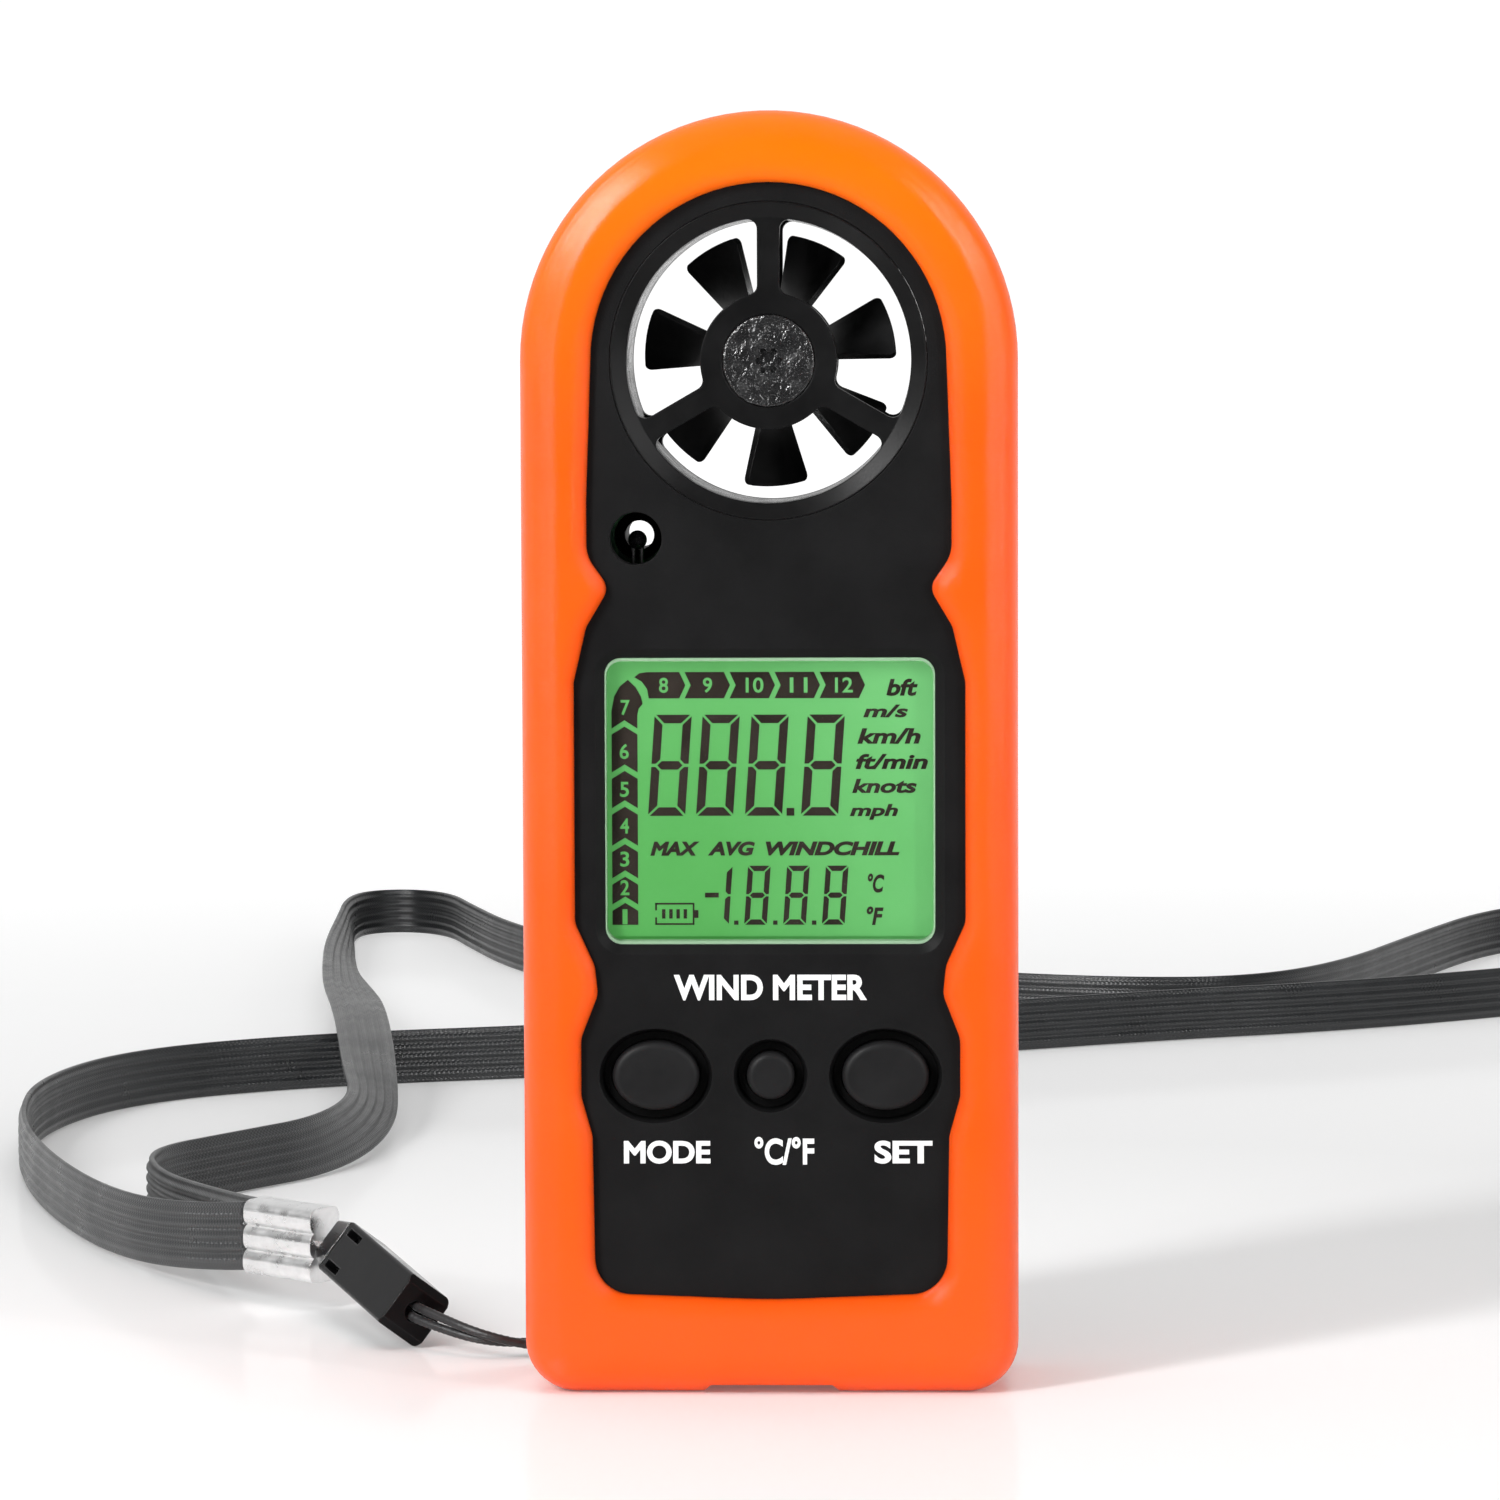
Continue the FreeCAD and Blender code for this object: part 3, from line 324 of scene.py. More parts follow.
class Finish:
    """A Principled material, its colour, gloss and relief drawn from noise in the part's space.

    mottle_size, grain, grain_size and edge are in millimetres.
    """

    def __init__(self, name, color, rough, metal=0.0, mottle=0.1, mottle_size=3.0, spread=0.06,
                 grain=0.0, grain_size=0.3, edge=0.12, wear=0.0, **sockets):
        self.material = bpy.data.materials.new(name)
        self.material.use_nodes = True
        self.tree = self.material.node_tree
        self.shader = self.tree.nodes["Principled BSDF"]
        self.shader.inputs["Metallic"].default_value = metal
        for key, value in sockets.items():
            self.shader.inputs[key.replace("_", " ")].default_value = value
        self.place = add_node(self.tree, "ShaderNodeTexCoord").outputs["Object"]
        cloud = noise(self.tree, self.place, mottle_size)
        soft = between(self.tree, cloud, 0.0, 1.0, *CLOUD_RANGE)
        pair = shade(color, 1 - mottle), shade(color, 1 + mottle)
        self.color = blend_colors(self.tree, soft, *pair)
        self.rough = between(self.tree, cloud, rough - spread, rough + spread, *CLOUD_RANGE)
        self.normal = None
        if edge:
            bevel = add_node(self.tree, "ShaderNodeBevel", {"samples": 4}, Radius=edge * MM)
            self.normal = bevel.outputs[0]
            if wear:
                self.wear_and_gleam_edges(bevel, color, wear)
        if grain:
            self.relief(noise(self.tree, self.place, grain_size, detail=2.0), grain)

    def wear_and_gleam_edges(self, bevel, color, wear):
        """Paler edges: rubbing wear where hands and bags rub, and on the clip a painted highlight
        along its edges.
        """
        flat = add_node(self.tree, "ShaderNodeNewGeometry").outputs["Normal"]
        dot = add_node(self.tree, "ShaderNodeVectorMath", {"operation": "DOT_PRODUCT"})
        self.tree.links.new(bevel.outputs[0], dot.inputs[0])
        self.tree.links.new(flat, dot.inputs[1])
        mask = between(self.tree, dot.outputs["Value"], 1.0, 0.0, start=0.75, end=0.98)
        broken = math_node(self.tree, "MULTIPLY", mask, noise(self.tree, self.place, 1.2))
        amount = math_node(self.tree, "MULTIPLY", broken, wear)
        pale = tuple(c * 0.6 + 0.4 * max(0.25, max(color)) for c in color)
        self.color = blend_colors(self.tree, amount, self.color, pale)

    def relief(self, height, depth_mm):
        bump = add_node(self.tree, "ShaderNodeBump", Distance=depth_mm * MM, Strength=1.0)
        self.tree.links.new(height, bump.inputs["Height"])
        if self.normal is not None:
            self.tree.links.new(self.normal, bump.inputs["Normal"])
        self.normal = bump.outputs[0]

    def ramp(self, axis, most, start, end):
        """A factor that grows from 0 at start to most at end, two places on an axis in metres."""
        return between(self.tree, axis_of(self.tree, self.place, axis), 0.0, most, start, end)

    def tint(self, factor, color):
        self.color = blend_colors(self.tree, factor, self.color, color)

    def done(self):
        self.tree.links.new(self.color, self.shader.inputs["Base Color"])
        self.tree.links.new(self.rough, self.shader.inputs["Roughness"])
        if self.normal is not None:
            self.tree.links.new(self.normal, self.shader.inputs["Normal"])
        return self.material


ORANGE = (0.95, 0.092, 0.0012)
BLACK = (0.0070, 0.0070, 0.0073)
GREEN = (0.052, 0.262, 0.052)


def holster_material():
    """Satin moulded rubber with a fine texture, and painted light that makes its arch lighter and
    yellower.
    """
    finish = Finish("holster_rubber", ORANGE, 0.20, mottle=0.025, mottle_size=9.0, spread=0.03,
                    grain=0.005, grain_size=0.22, edge=2.2, Specular_IOR_Level=0.36)
    # Painted light: the top of the arch is lightened and yellowed, as light falling on it from
    # above would do.
    finish.tint(finish.ramp("Z", 0.55, 0.080, 0.100), (1.0, 0.19, 0.0005))
    return finish.done()


def case_material():
    """Fine matt plastic, with painted shade that darkens it down in the key wells."""
    finish = Finish("case_plastic", BLACK, 0.5, mottle=0.12, mottle_size=6.0, grain=0.02,
                    grain_size=0.16, edge=0.12, wear=0.05, Specular_IOR_Level=0.1)
    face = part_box("front_case")[0].y
    # Painted shade: deeper than the face, down in the key wells, the case goes nearly black.
    painted_well_shade = finish.ramp("Y", 1.0, face + 0.5 * MM, face + 0.9 * MM)
    finish.tint(painted_well_shade, shade(BLACK, 0.1))
    return finish.done()


def cap_material():
    """A disc whose middle was melted over with a hot tool."""
    finish = Finish("gloss_black", shade(BLACK, 1.8), 0.22, mottle=0.2, mottle_size=1.5,
                    spread=0.12, edge=0.08, Specular_IOR_Level=0.7)
    melted = noise(finish.tree, finish.place, 1.6, detail=4.0, roughness=0.6)
    finish.relief(melted, depth_mm=0.55)
    return finish.done()


def window_material():
    """Clear plastic, with a painted highlight: a pale line along its moulded rim."""
    low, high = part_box("lcd_window")
    flange, corner = 0.93 * MM, 1.37 * MM
    rim_starts, rim_full = corner - 0.15 * MM, corner - 0.09 * MM
    material = bpy.data.materials.new("window_clear")
    material.use_nodes = True
    tree = material.node_tree
    shader = tree.nodes["Principled BSDF"]
    shader.inputs["Specular IOR Level"].default_value = 0.5
    place = add_node(tree, "ShaderNodeTexCoord").outputs["Object"]
    squares = []
    for axis, first, last in (("X", low.x, high.x), ("Z", low.z, high.z)):
        middle, half = (first + last) / 2, (last - first) / 2 - flange
        offset = math_node(tree, "SUBTRACT", axis_of(tree, place, axis), middle)
        beyond = math_node(tree, "SUBTRACT", math_node(tree, "ABSOLUTE", offset), half - corner)
        excess = math_node(tree, "MAXIMUM", beyond, 0.0)
        squares.append(math_node(tree, "MULTIPLY", excess, excess))
    distance = math_node(tree, "SQRT", math_node(tree, "ADD", *squares))
    # Painted highlight: a pale, half opaque line along the rim.
    rim_highlight = between(tree, distance, 0.0, 1.0, rim_starts, rim_full)
    clouds = noise(tree, place, 5.0)
    clear = between(tree, clouds, 0.03, 0.05)
    alpha = math_node(tree, "MAXIMUM", clear, math_node(tree, "MULTIPLY", rim_highlight, 0.45))
    color = blend_colors(tree, rim_highlight, (0.02, 0.03, 0.02), (0.45, 0.62, 0.45))
    tree.links.new(alpha, shader.inputs["Alpha"])
    tree.links.new(color, shader.inputs["Base Color"])
    tree.links.new(between(tree, clouds, 0.05, 0.09), shader.inputs["Roughness"])
    return material


def lcd_material():
    """The lit green field behind the ink, a little brighter to the right and the top."""
    finish = Finish("lcd_green", GREEN, 0.45, mottle=0.02, mottle_size=6.0, edge=0)
    right = finish.ramp("X", 0.5, -0.004, 0.014)
    up = finish.ramp("Z", 0.3, 0.045, 0.062)
    finish.tint(math_node(finish.tree, "ADD", right, up), (0.125, 0.40, 0.14))
    finish.tree.links.new(finish.color, finish.shader.inputs["Emission Color"])
    finish.shader.inputs["Emission Strength"].default_value = 0.65
    return finish.done()


def board_material():
    """Green solder mask with copper tracks that show through it."""
    finish = Finish("board_green", (0.012, 0.11, 0.035), 0.32, mottle=0.2, mottle_size=2.0,
                    edge=0.05)
    tracks = add_node(finish.tree, "ShaderNodeTexBrick", Scale=1 / (2.2 * MM), Mortar_Size=0.06)
    finish.tree.links.new(finish.place, tracks.inputs["Vector"])
    finish.tint(tracks.outputs["Fac"], (0.05, 0.2, 0.06))
    finish.relief(tracks.outputs["Fac"], depth_mm=0.03)
    return finish.done()


def brushed_material(name, color, rough):
    """Bare metal with fine streaks along X."""
    finish = Finish(name, color, rough, metal=1.0, mottle=0.08, mottle_size=1.2, edge=0.1, wear=0.2)
    stretch = add_node(finish.tree, "ShaderNodeMapping", Scale=(0.08, 1.0, 1.0))
    finish.tree.links.new(finish.place, stretch.inputs["Vector"])
    streaks = noise(finish.tree, stretch.outputs[0], 0.35, detail=4.0)
    finish.relief(streaks, depth_mm=0.003)
    return finish.done()


WEFT_PITCH = 0.55
WARP_PITCH = 0.42


def wave(tree, attribute, pitch):
    """A sine wave, its pitch in millimetres, on one of the two measures in the strap's mesh."""
    measure = add_node(tree, "ShaderNodeAttribute", {"attribute_name": attribute}).outputs["Fac"]
    return math_node(tree, "SINE", math_node(tree, "MULTIPLY", measure, 2 * math.pi / pitch))


def strap_material():
    """Dark woven nylon: lengthwise ribs are in the mesh, and the weft crosses them here."""
    finish = Finish("strap_nylon", (0.009, 0.010, 0.011), 0.32, mottle=0.25, mottle_size=5.0,
                    edge=0, Sheen_Weight=0.02, Sheen_Roughness=0.35, Specular_IOR_Level=0.6)
    tree = finish.tree
    weft = wave(tree, "along", WEFT_PITCH)
    warp = wave(tree, "across", WARP_PITCH)
    weave = math_node(tree, "MULTIPLY", weft, warp)
    finish.tint(between(tree, weave, 0.0, 0.4, start=-1.0), (0.022, 0.024, 0.026))
    finish.relief(weave, depth_mm=0.02)
    return finish.done()


def string_material():
    """Fine braided nylon; the plait itself is in the mesh."""
    finish = Finish("string_nylon", (0.016, 0.016, 0.017), 0.42, mottle=0.3, mottle_size=0.6,
                    edge=0, Sheen_Weight=0.25, Sheen_Roughness=0.3)
    finish.relief(noise(finish.tree, finish.place, 0.12), depth_mm=0.03)
    return finish.done()


PLAIN_FINISHES = {
    "guard_plastic": dict(color=shade(BLACK, 0.8), rough=0.36, mottle=0.12, grain=0.006,
                          grain_size=0.25, edge=0.18, wear=0.05, Specular_IOR_Level=0.16),
    "vane_plastic": dict(color=shade(BLACK, 0.8), rough=0.34, grain=0.004, edge=0.1, wear=0.04),
    "chip_black": dict(color=(0.02, 0.02, 0.021), rough=0.55, grain=0.01, grain_size=0.1,
                       edge=0.06),
    "bead_epoxy": dict(color=(0.012, 0.012, 0.014), rough=0.22, mottle=0.2, mottle_size=0.6,
                       grain=0.02),
    "jewel": dict(color=(0.35, 0.02, 0.05), rough=0.12, mottle=0.2, mottle_size=0.5),
    "cable_jacket": dict(color=(0.03, 0.03, 0.032), rough=0.5, grain=0.01, grain_size=0.2),
    "white_plastic": dict(color=(0.78, 0.8, 0.76), rough=0.4, mottle=0.04, grain=0.006),
    "led_amber": dict(color=(0.75, 0.55, 0.12), rough=0.3, mottle=0.2, mottle_size=0.8),
    "zebra_rubber": dict(color=(0.30, 0.30, 0.34), rough=0.5, mottle=0.5, mottle_size=0.15),
    "part_ceramic": dict(color=(0.32, 0.24, 0.16), rough=0.45, mottle=0.3, mottle_size=0.7,
                         edge=0.05),
    "key_rubber": dict(color=(0.0105, 0.0105, 0.011), rough=0.5, mottle=0.1, grain=0.01,
                       grain_size=0.18, edge=0.15, wear=0.06, Specular_IOR_Level=0.14),
    "seal_rubber": dict(color=(0.015, 0.015, 0.016), rough=0.6, grain=0.01),
    # The clip's parts get strong pale edges: painted highlights along their chamfers, not wear.
    "clip_gloss": dict(color=(0.012, 0.012, 0.013), rough=0.12, mottle=0.15, spread=0.05,
                       grain=0.004, grain_size=0.5, edge=0.25, wear=0.8, Specular_IOR_Level=0.6),
    "clip_black": dict(color=(0.006, 0.006, 0.0065), rough=0.14, mottle=0.15, spread=0.05,
                       grain=0.004, grain_size=0.5, edge=0.25, wear=0.8, IOR=1.16),
    "strap_thread": dict(color=(0.10, 0.105, 0.11), rough=0.5, mottle=0.2, mottle_size=0.3,
                         edge=0, Sheen_Weight=0.3),
    "legend_white": dict(color=(0.86, 0.86, 0.86), rough=0.5, mottle=0.04, mottle_size=0.5,
                         edge=0, grain=0.004, grain_size=0.15),
    "lcd_ink": dict(color=(0.022, 0.012, 0.008), rough=0.4, mottle=0.2, edge=0),
}
METAL_FINISHES = {
    "steel": ((0.90, 0.90, 0.90), 0.3),
    "screw_steel": ((0.50, 0.50, 0.52), 0.3),
    "magnet": ((0.42, 0.43, 0.46), 0.3),
    "tinned_wire": ((0.72, 0.72, 0.72), 0.28),
    "cell_steel": ((0.70, 0.70, 0.71), 0.24),
    "contact_nickel": ((0.72, 0.69, 0.62), 0.25),
}


def make_materials():
    made = {
        "holster_rubber": holster_material(),
        "case_plastic": case_material(),
        "gloss_black": cap_material(),
        "window_clear": window_material(),
        "lcd_green": lcd_material(),
        "board_green": board_material(),
        "strap_nylon": strap_material(),
        "string_nylon": string_material(),
    }
    for name, values in PLAIN_FINISHES.items():
        made[name] = Finish(name, **values).done()
    for name, (color, rough) in METAL_FINISHES.items():
        made[name] = brushed_material(name, color, rough)
    return made


def dress_nodes(materials):
    """Each CAD node takes the finish that its imported material names.

    The clip's plug is shinier than its socket, though they share a slot.
    """
    for node in NODES.values():
        for slot in node.material_slots:
            slot.material = materials[slot.material.name.split(".")[0]]
    NODES["clip_plug"].material_slots[0].material = materials["clip_gloss"]


MATERIALS = make_materials()
dress_nodes(MATERIALS)


# ---- lanyard, in millimetres --------------------------------------------------------
STRING_ROUTE = [
    (0.0, 5.6, 3.9), (0.0, 10.9, 1.9), (-3.4, 14.6, 0.95), (-9.6, 14.9, 0.95),
    (-15.4, 12.6, 0.95), (-20.6, 9.9, 0.95), (-25.6, 8.6, 1.9), (-31.0, 13.5, 3.25),
]
STRAP_ROUTE = [
    (-54.5, 48.5, 4.4), (-63.5, 64.0, 3.4), (-73.0, 90.0, 3.2), (-80.5, 120.0, 3.2),
    (-83.0, 151.0, 3.2), (-76.0, 177.0, 3.2), (-56.0, 192.0, 3.2), (-31.0, 200.0, 3.2),
    (-4.0, 211.5, 3.2), (22.0, 224.5, 3.2), (43.0, 236.5, 3.2), (64.0, 245.5, 3.2),
    (88.0, 262.0, 3.2), (108.0, 282.0, 3.2), (120.5, 306.0, 3.2), (122.5, 328.0, 3.2),
    (114.5, 343.0, 3.2), (100.5, 346.0, 3.2), (90.0, 334.0, 3.2), (79.0, 305.0, 3.2),
    (66.0, 268.0, 3.2), (53.0, 251.0, 3.2), (36.0, 250.5, 3.2), (13.0, 261.0, 3.2),
    (-13.0, 275.5, 3.2), (-31.0, 293.0, 3.2), (-42.5, 319.0, 3.2), (-49.5, 345.0, 3.2),
    (-53.5, 361.5, 3.2), (-59.5, 368.0, 3.2), (-66.0, 365.5, 3.2), (-67.6, 355.0, 3.1),
    (-66.0, 334.0, 3.0), (-63.5, 300.0, 3.7), (-60.0, 266.0, 5.0), (-57.0, 238.0, 6.3),
    (-53.5, 211.0, 7.4), (-50.5, 186.0, 7.3), (-47.8, 162.0, 5.6), (-45.5, 141.0, 3.7),
    (-48.5, 120.0, 3.2), (-56.5, 107.5, 3.2), (-64.0, 95.0, 3.2), (-61.0, 78.0, 3.4),
    (-53.5, 60.0, 4.2),
]
# Where the strap lies down between its two upright stretches, in degrees from lying flat.
LEANS = {32: 84, 33: 72, 34: 50, 35: 26, 36: 8, 37: 0, 38: 0, 39: 12, 40: 44, 41: 80}
UPRIGHT = 90
FLOOR_GAP = 0.04                   # no strap or string comes nearer to the floor
STRAP_WIDTH = 6.3
STRAP_THICKNESS = 1.2
STRAP_LAYER = 0.85                 # its two ends lie this far each side of the crimp's middle
RIBS = 6
RIB_DEPTH = 0.26                   # as a share of the strap's thickness
SIDE_POINTS = 36                   # of the strap's outline, on each face
STITCH_RINGS = slice(2, 14)        # the stretch of strap that is stitched, from its end
STITCH_COLUMNS = (6, 14, 21, 29)   # points of the outline that a row of stitches follows
STITCH_LIFT = 0.04
STITCH_SIZE = (0.45, 0.26, 0.16)   # length, width and height
STRING_DIAMETER = 1.6
STRAND_RADIUS = 0.42
PLAIT_LENGTH = 1.1
STRAND_GAP = 0.03                  # from each strand to the middle of the doubled string
PIN_RADIUS = 0.75
PIN_GAP = 0.05
CLIP_LENGTH = 23.0
HOLE_DEPTH = 3.0
CRIMP_REACH = 10.0                 # from the strap's ends to where the crimp hooks into the plug


def leaning(heading, pitch, roll):
    """A turn by three angles in degrees: about X, then Y, then Z."""
    turns = [Matrix.Rotation(math.radians(angle), 3, axis)
             for angle, axis in ((heading, "Z"), (pitch, "Y"), (roll, "X"))]
    return turns[0] @ turns[1] @ turns[2]


def clip_frame():
    """From the clip's own frame, X along it and Z through its broad face, to millimetres here."""
    turn = leaning(heading=-68.0, pitch=6.5, roll=53.0)
    start = Vector(STRING_ROUTE[-1]) - turn @ Vector((CLIP_LENGTH, 0, 0))
    return Matrix.Translation(start) @ turn.to_4x4()


CLIP = clip_frame()


def crimp_frame():
    """The crimp's own frame: X from the strap's ends to the plug, Z up."""
    turn = leaning(heading=-36.0, pitch=1.5, roll=0.0)
    start = CLIP @ Vector((1.0, 0, 0)) - turn @ Vector((CRIMP_REACH, 0, 0))
    return Matrix.Translation(start) @ turn.to_4x4()


CRIMP = crimp_frame()


def on_clip(x, y, z):
    return tuple(CLIP @ Vector((x, y, z)))


def on_crimp(x, y, z):
    return tuple(CRIMP @ Vector((x, y, z)))


def strap_section():
    """(across, through) of the flat strap's outline, with its lengthwise ribs."""
    outline = []
    for face in (1, -1):
        for i in range(SIDE_POINTS):
            share = 1 - 2 * (i + 0.5) / SIDE_POINTS
            edge = (1 - abs(share) ** 6) ** 0.5
            rib = 1 - RIB_DEPTH + RIB_DEPTH * math.cos(math.pi * RIBS * share) * edge
            across, through = share * STRAP_WIDTH / 2, edge * rib * STRAP_THICKNESS / 2
            outline.append((face * across, face * through))
    return np.array(outline)


def strap_rings(points, rolls, section):
    """The section at each point, rolled from lying flat, with nothing under the floor."""
    along = tangents(points)
    side = unit(np.cross(along, (0, 0, 1)))
    up = np.cross(side, along)
    width = side * np.cos(rolls)[:, None] + up * np.sin(rolls)[:, None]
    through = np.cross(along, width)
    rings = (points[:, None, :] + width[:, None, :] * section[None, :, :1]
             + through[:, None, :] * section[None, :, 1:])
    rings[:, :, 2] = np.maximum(rings[:, :, 2], FLOOR_GAP)
    return rings


def strap_line():
    """Points along the strap and its roll at each."""
    route = [on_crimp(0, -STRAP_LAYER, 0)] + STRAP_ROUTE + [on_crimp(0, STRAP_LAYER, 0)]
    angle_row = [(math.radians(LEANS.get(i, UPRIGHT)), 0, 0) for i in range(len(route))]
    points, angles = nurbs_samples([route, angle_row], resolution=24)
    return points, angles[:, 0]


def stitch(middle, along, lift):
    """One short bulge of thread that lies along the strap."""
    length, width, height = STITCH_SIZE
    side = np.cross(along, lift)
    turns = [2 * math.pi * k / 6 for k in range(6)]
    rings = []
    for share in (-1.0, -0.7, 0.0, 0.7, 1.0):
        size = math.sqrt(max(0.02, 1 - share * share))
        centre = middle + along * share * length / 2
        rings.append([centre + side * math.cos(turn) * width / 2 * size
                      + lift * math.sin(turn) * height / 2 * size for turn in turns])
    return skin(np.array(rings))


def stitch_rows(rings):
    """Rows of stitches on both faces of the strap, beside the crimp."""
    parts = []
    stitched = rings[STITCH_RINGS]
    centres = stitched.mean(axis=1)
    for face in (0, SIDE_POINTS):
        for column in STITCH_COLUMNS:
            spine = stitched[:, face + column]
            along = tangents(spine)
            lift = unit(np.cross(along, np.cross(unit(spine - centres), along)))
            for i in range(len(spine) - 1):
                middle = (spine[i] + spine[i + 1]) / 2 + lift[i] * STITCH_LIFT
                parts.append(stitch(middle, along[i], lift[i]))
    return gather(parts)


def make_strap():
    points, rolls = strap_line()
    section = strap_section()
    rings = strap_rings(points, rolls, section)
    strap = piece("neck_strap_woven", *skin(rings), MATERIALS["strap_nylon"], "lanyard")
    for name, values in (("along", np.repeat(distances(points), len(section))),
                         ("across", np.tile(section[:, 0], len(rings)))):
        layer = strap.data.attributes.new(name, "FLOAT", "POINT")
        layer.data.foreach_set("value", values.astype(np.float32))
    both_ends = gather([stitch_rows(rings), stitch_rows(rings[::-1])])
    stitches = piece("strap_stitches", *both_ends, MATERIALS["strap_thread"], "lanyard")
    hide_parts("neck_strap")
    return strap, stitches, points


def braid_rings(points, radius):
    """A round cord whose surface shows its plaited strands."""
    along = tangents(points)
    side = unit(np.cross(along, (0.13, 0.21, 0.97)))
    up = np.cross(side, along)
    turn = np.linspace(0, 2 * math.pi, 14, endpoint=False)
    phase = distances(points)[:, None] * 2 * math.pi / PLAIT_LENGTH
    plait = np.cos(3 * turn[None, :] + phase) * np.cos(3 * turn[None, :] - phase)
    size = radius * (0.93 + 0.11 * plait)
    return (points[:, None, :] + side[:, None, :] * (np.cos(turn) * size)[:, :, None]
            + up[:, None, :] * (np.sin(turn) * size)[:, :, None])


def twisted(points):
    """A strand's offset from each point of the cord, as two strands twist once round it."""
    offsets = []
    last = len(points) - 1
    for i in range(len(points)):
        angle = 2 * math.pi * i / last
        heading = unit(points[min(i + 1, last)] - points[max(i - 1, 0)])
        level = unit(np.cross(heading, (0, 0, 1)))
        across = np.cross(level, heading) * math.cos(angle) + level * math.sin(angle)
        offsets.append(across * (STRAND_RADIUS + STRAND_GAP))
    return offsets


def make_string():
    """One cord, doubled: round the pin, along the floor and into the end of the clip."""
    route = STRING_ROUTE + [on_clip(CLIP_LENGTH - HOLE_DEPTH, 0, 0)]
    line, = nurbs_samples([route], resolution=10)
    to_clip = CLIP.inverted()
    outside = [p for p in line if (to_clip @ Vector(p)).x > CLIP_LENGTH + STRING_DIAMETER]
    middle = np.array(outside[8::5])        # every fifth sample, once it is clear of the pin
    offsets = twisted(middle)
    pin = np.array(STRING_ROUTE[0])
    loop = PIN_RADIUS + STRAND_RADIUS + PIN_GAP
    round_pin = [pin + (0.0, 2.4, 0.35), pin + (0, 0.6, loop), pin + (0, -loop, loop * 0.8),
                 pin + (0, -loop, -loop * 0.8), pin + (0, 0.6, -loop), pin + (0.0, 2.6, -1.5)]
    inward = [(CLIP_LENGTH + 0.3, 0.47, 0.1), (CLIP_LENGTH - 1.0, 0.44, 0.0),
              (CLIP_LENGTH - HOLE_DEPTH + 0.1, 0.44, 0.0)]
    first = [on_clip(x, y, z) for x, y, z in reversed(inward)]
    last = [on_clip(x, -y, -z) for x, y, z in inward]
    out = [p + offset for p, offset in zip(middle[::-1], offsets[::-1])]
    back = [p - offset for p, offset in zip(middle, offsets)]
    control = [tuple(p) for p in (*first, *out, *round_pin, *back, *last)]
    strands, = nurbs_samples([control], resolution=12)
    strands[:, 2] = np.maximum(strands[:, 2], STRAND_RADIUS + FLOOR_GAP)
    string = piece("lanyard_string_doubled", *skin(braid_rings(strands, STRAND_RADIUS)),
                   MATERIALS["string_nylon"], "meter")
    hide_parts("lanyard_string")
    return string, line


strap_parts = make_strap()
string_parts = make_string()


# ---- printing and display -----------------------------------------------------------
def plates(outlines, front, back):
    """Thin flat prisms from outlines of (x, z), between two depths."""
    parts = []
    for outline in outlines:
        count = len(outline)
        verts = [(x, front, z) for x, z in outline] + [(x, back, z) for x, z in outline]
        faces = [tuple(range(count)), tuple(range(2 * count - 1, count - 1, -1))]
        for i in range(count):
            j = (i + 1) % count
            faces.append((i, i + count, j + count, j))
        parts.append((verts, faces))
    return gather(parts)


def lettering(text, box, front, back, weight, lean=0.0):
    """Letters fitted into box, which is (left, right, bottom, top), facing the front."""
    left, right, bottom, top = box
    data = bpy.data.curves.new("letters", "FONT")
    data.body = text
    data.size = 1.0
    data.shear = lean
    data.bevel_depth = weight
    data.bevel_resolution = 1
    data.extrude = 0.5
    data.resolution_u = 6
    holder = bpy.data.objects.new("letters", data)
    mesh = bpy.data.meshes.new_from_object(holder)
    points = np.array([v.co for v in mesh.vertices], float)
    faces = [tuple(p.vertices) for p in mesh.polygons]
    bpy.data.objects.remove(holder)
    bpy.data.curves.remove(data)
    bpy.data.meshes.remove(mesh)
    low = points.min(axis=0)
    share = (points - low) / (points.max(axis=0) - low)
    verts = np.stack([left + share[:, 0] * (right - left), back + share[:, 2] * (front - back),
                      bottom + share[:, 1] * (top - bottom)], axis=1)
    return verts.tolist(), faces


def around(x, z, width, height):
    return (x - width / 2, x + width / 2, z - height / 2, z + height / 2)


# Each word's middle across and above the key names' row, its width, height and weight.
LEGENDS = [
    ("WIND METER", 0.0, 13.55, 15.8, 2.1, 0.036), ("MODE", -8.5, 0.0, 7.1, 1.9, 0.036),
    ("°C/°F", 1.1, 0.1, 4.9, 2.3, 0.030), ("SET", 10.85, 0.0, 4.75, 1.9, 0.036),
]
LEGEND_DROP = 2.7                  # from the keys to the middle of their names


def make_legends():
    """The white words on the face, pad-printed."""
    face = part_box("front_case")[0].y / MM
    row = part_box("mode_key")[0].z / MM - LEGEND_DROP
    words = [lettering(text, around(x, row + rise, width, height), face - 0.03, face + 0.01, weight)
             for text, x, rise, width, height, weight in LEGENDS]
    piece("face_legends", *gather(words), MATERIALS["legend_white"], "meter", smooth=False)


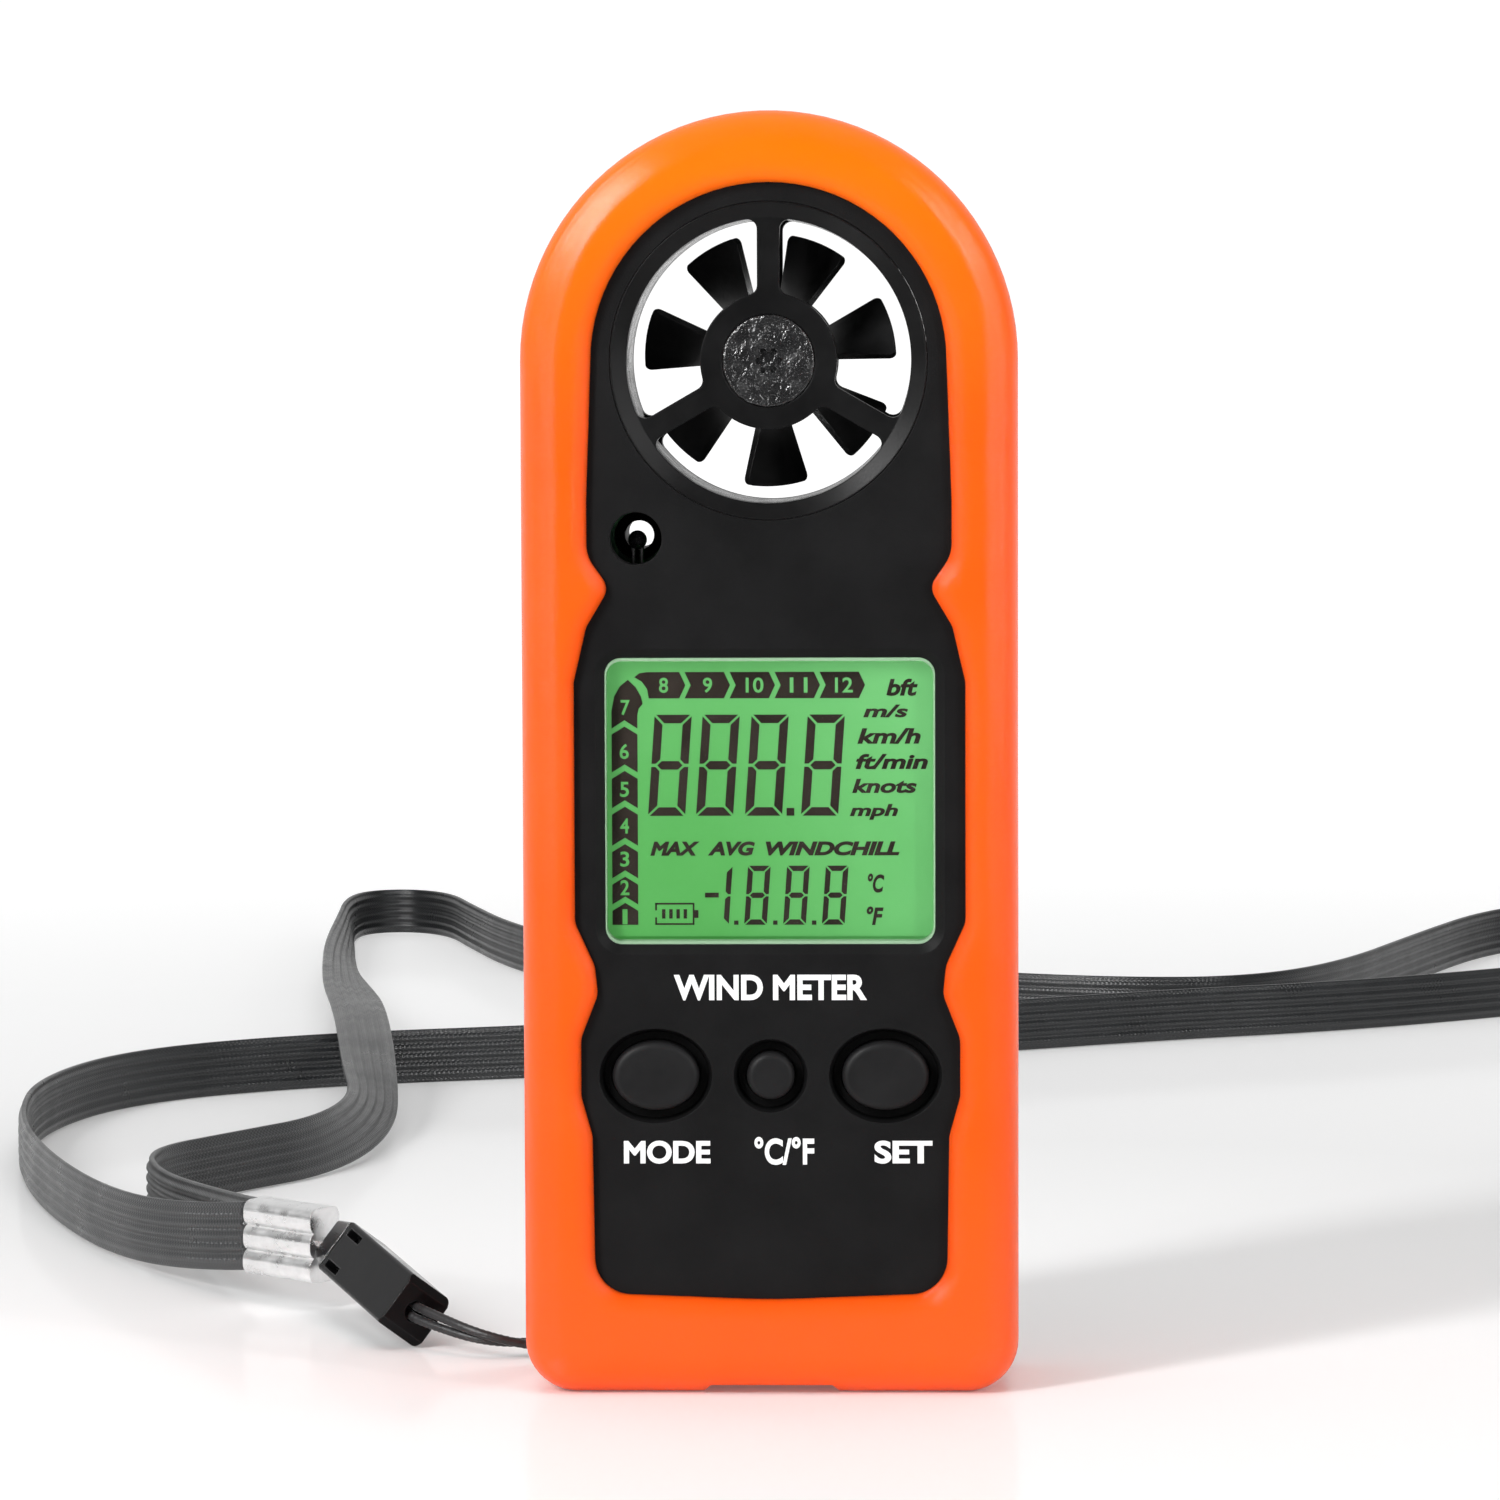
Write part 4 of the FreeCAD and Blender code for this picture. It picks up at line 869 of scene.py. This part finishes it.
# What the display shows, in millimetres from the middle of its window.
DIGIT_SLOPE = math.tan(math.radians(4.0))
MAIN_SIZE = (3.04, 8.3, 0.70, 0.13)      # a digit's width, height, stroke and gap
SMALL_SIZE = (1.86, 4.86, 0.44, 0.09)
MAIN_FOOT = -1.3
SMALL_FOOT = -10.27
MAIN_DIGITS = (-10.02, -6.09, -2.08, 2.51)
SMALL_DIGITS = (-2.18, 1.02, 4.20)
CORNER_SEVEN = [(-12.98, 5.87), (-12.98, 7.3), (-12.75, 8.5), (-12.28, 9.35), (-11.62, 9.87),
                (-10.98, 9.25), (-10.56, 8.5), (-10.42, 7.9), (-10.75, 7.5), (-10.86, 7.0),
                (-10.86, 5.87), (-11.92, 6.55)]
CORNER_EIGHT = [(-11.1, 10.08), (-10.7, 10.4), (-10.1, 10.5), (-7.42, 10.5), (-6.92, 9.42),
                (-7.42, 8.34), (-9.92, 8.34), (-10.05, 9.1), (-10.49, 9.72)]
NUMBER_HEIGHT = 1.24
# The wind scale's numbers from 1 to 12: across, up and width.
SCALE_NUMBERS = [
    (-11.95, -9.6, 0.40), (-11.95, -7.2, 0.74), (-11.95, -4.85, 0.74), (-11.95, -2.12, 0.74),
    (-11.95, 0.88, 0.74), (-11.95, 4.0, 0.74), (-11.85, 7.6, 0.74), (-8.7, 9.42, 0.74),
    (-5.1, 9.42, 0.74), (-1.25, 9.42, 1.45), (2.35, 9.42, 1.45), (6.05, 9.42, 1.45),
]
# Text, then its box: left, right, bottom and top.
UNITS = [("bft", 9.52, 12.09, 8.51, 9.92), ("m/s", 7.62, 11.29, 6.75, 7.80),
         ("km/h", 7.14, 12.32, 4.58, 5.88), ("ft/min", 6.98, 12.91, 2.50, 3.76),
         ("knots", 6.70, 12.00, 0.54, 1.72), ("mph", 6.51, 10.46, -1.65, -0.35),
         ("°C", 7.97, 9.33, -7.64, -6.06), ("°F", 7.87, 9.26, -10.30, -8.77)]
WORDS = [("MAX", -9.85, -5.80, -4.58, -3.41), ("AVG", -5.14, -1.26, -4.58, -3.41),
         ("WINDCHILL", -0.39, 10.58, -4.58, -3.41)]
LETTER_STYLES = ((UNITS, 0.034, 0.22), (WORDS, 0.050, 0.25))    # weight and lean


def digit(x, z, size, lit="abcdefg"):
    """The lit segments of one leaning seven-segment digit."""
    w, h, t, g = size
    m = h / 2
    shapes = {
        "a": [(g, h), (w - g, h), (w - t - g, h - t), (t + g, h - t)],
        "b": [(w, h - g), (w, m + g), (w - t / 2, m + g), (w - t, m + t / 2 + g),
              (w - t, h - t - g)],
        "c": [(w, g), (w, m - g), (w - t / 2, m - g), (w - t, m - t / 2 - g), (w - t, t + g)],
        "d": [(g, 0), (w - g, 0), (w - t - g, t), (t + g, t)],
        "e": [(0, g), (0, m - g), (t / 2, m - g), (t, m - t / 2 - g), (t, t + g)],
        "f": [(0, h - g), (0, m + g), (t / 2, m + g), (t, m + t / 2 + g), (t, h - t - g)],
        "g": [(t / 2 + g, m), (t + g, m + t / 2), (w - t - g, m + t / 2), (w - t / 2 - g, m),
              (w - t - g, m - t / 2), (t + g, m - t / 2)],
    }
    return [[(x + u + v * DIGIT_SLOPE, z + v) for u, v in shapes[s]] for s in lit]


def rectangle(left, right, bottom, top):
    return [(left, bottom), (right, bottom), (right, top), (left, top)]


def upright_chevrons():
    """Wind scale 1 to 6: house shapes one above the other, each notched over the one below."""
    left, right, rise, gap = -12.98, -10.86, 0.65, 0.52
    middle = (left + right) / 2
    shapes = []
    foot, notch = SMALL_FOOT, 0.0
    for peak in (-8.46, -6.30, -3.62, -0.54, 2.40, 6.04):
        shapes.append([(left, foot), (middle, foot + notch), (right, foot),
                       (right, peak - rise), (middle, peak), (left, peak - rise)])
        foot, notch = peak - rise + gap, rise
    return shapes


def level_chevrons():
    """Wind scale 9 to 12, arrow shapes in a row along the top."""
    bottom, top, tip, length, step = 8.34, 10.50, 0.5, 3.72, 3.68
    middle = (bottom + top) / 2
    shapes = []
    for i in range(4):
        left = -6.98 + i * step
        right = left + length
        shapes.append([(left, top), (left + tip, middle), (left, bottom), (right - tip, bottom),
                       (right, middle), (right - tip, top)])
    return shapes


def battery_icon():
    """A thin-lined battery, open on its left, with four bars."""
    left, right, bottom, top, line, corner = -9.47, -6.25, SMALL_FOOT, -8.46, 0.14, 0.62
    shapes = [rectangle(left, right, top - line, top),
              rectangle(left, right, bottom, bottom + line),
              rectangle(left, left + line, bottom, bottom + corner),
              rectangle(left, left + line, top - corner, top),
              rectangle(right - line, right, bottom, top),
              rectangle(right, right + 0.33, -9.7, -9.05)]
    for i in range(4):
        bar = -8.91 + 0.59 * i
        shapes.append(rectangle(bar, bar + 0.28, -9.75, -8.98))
    return shapes


def display_outlines():
    """Every segment but the letters: the wind scale, both rows of digits and the battery."""
    shapes = upright_chevrons() + level_chevrons() + [CORNER_SEVEN, CORNER_EIGHT]
    for x in MAIN_DIGITS:
        shapes += digit(x, MAIN_FOOT, MAIN_SIZE)
    point = rectangle(1.33, 1.97, MAIN_FOOT, MAIN_FOOT + 0.64)
    shapes.append(point)
    for x in SMALL_DIGITS:
        shapes += digit(x, SMALL_FOOT, SMALL_SIZE)
        shapes.append(rectangle(x - 0.82, x - 0.46, SMALL_FOOT, SMALL_FOOT + 0.35))
    shapes += digit(-5.3, SMALL_FOOT, SMALL_SIZE, "bc")
    minus = rectangle(-5.38, -4.25, -8.02, -7.62)
    shapes.append(minus)
    return shapes + battery_icon()


def shift(part, rise):
    verts, faces = part
    return [(x, y, z + rise) for x, y, z in verts], faces


def make_display():
    """Dark ink on the glass, and the scale's numbers in the field's green on top of it."""
    low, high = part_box("lcd_window")
    middle = (low.z + high.z) / 2 / MM
    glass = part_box("lcd_glass")[0].y / MM
    front, back = glass - 0.03, glass - 0.002
    ink = [plates(display_outlines(), front, back)]
    for texts, weight, lean in LETTER_STYLES:
        ink += [lettering(text, box, front, back, weight, lean) for text, *box in texts]
    numbers = []
    for i, (x, z, width) in enumerate(SCALE_NUMBERS):
        box = around(x, z, width, NUMBER_HEIGHT)
        numbers.append(lettering(str(i + 1), box, front - 0.01, front, weight=0.016))
    for name, parts, material in (("lcd_ink", ink, "lcd_ink"),
                                  ("lcd_scale_numbers", numbers, "lcd_green")):
        placed = [shift(part, middle) for part in parts]
        piece(name, *gather(placed), MATERIALS[material], "meter", smooth=False)


make_legends()
make_display()
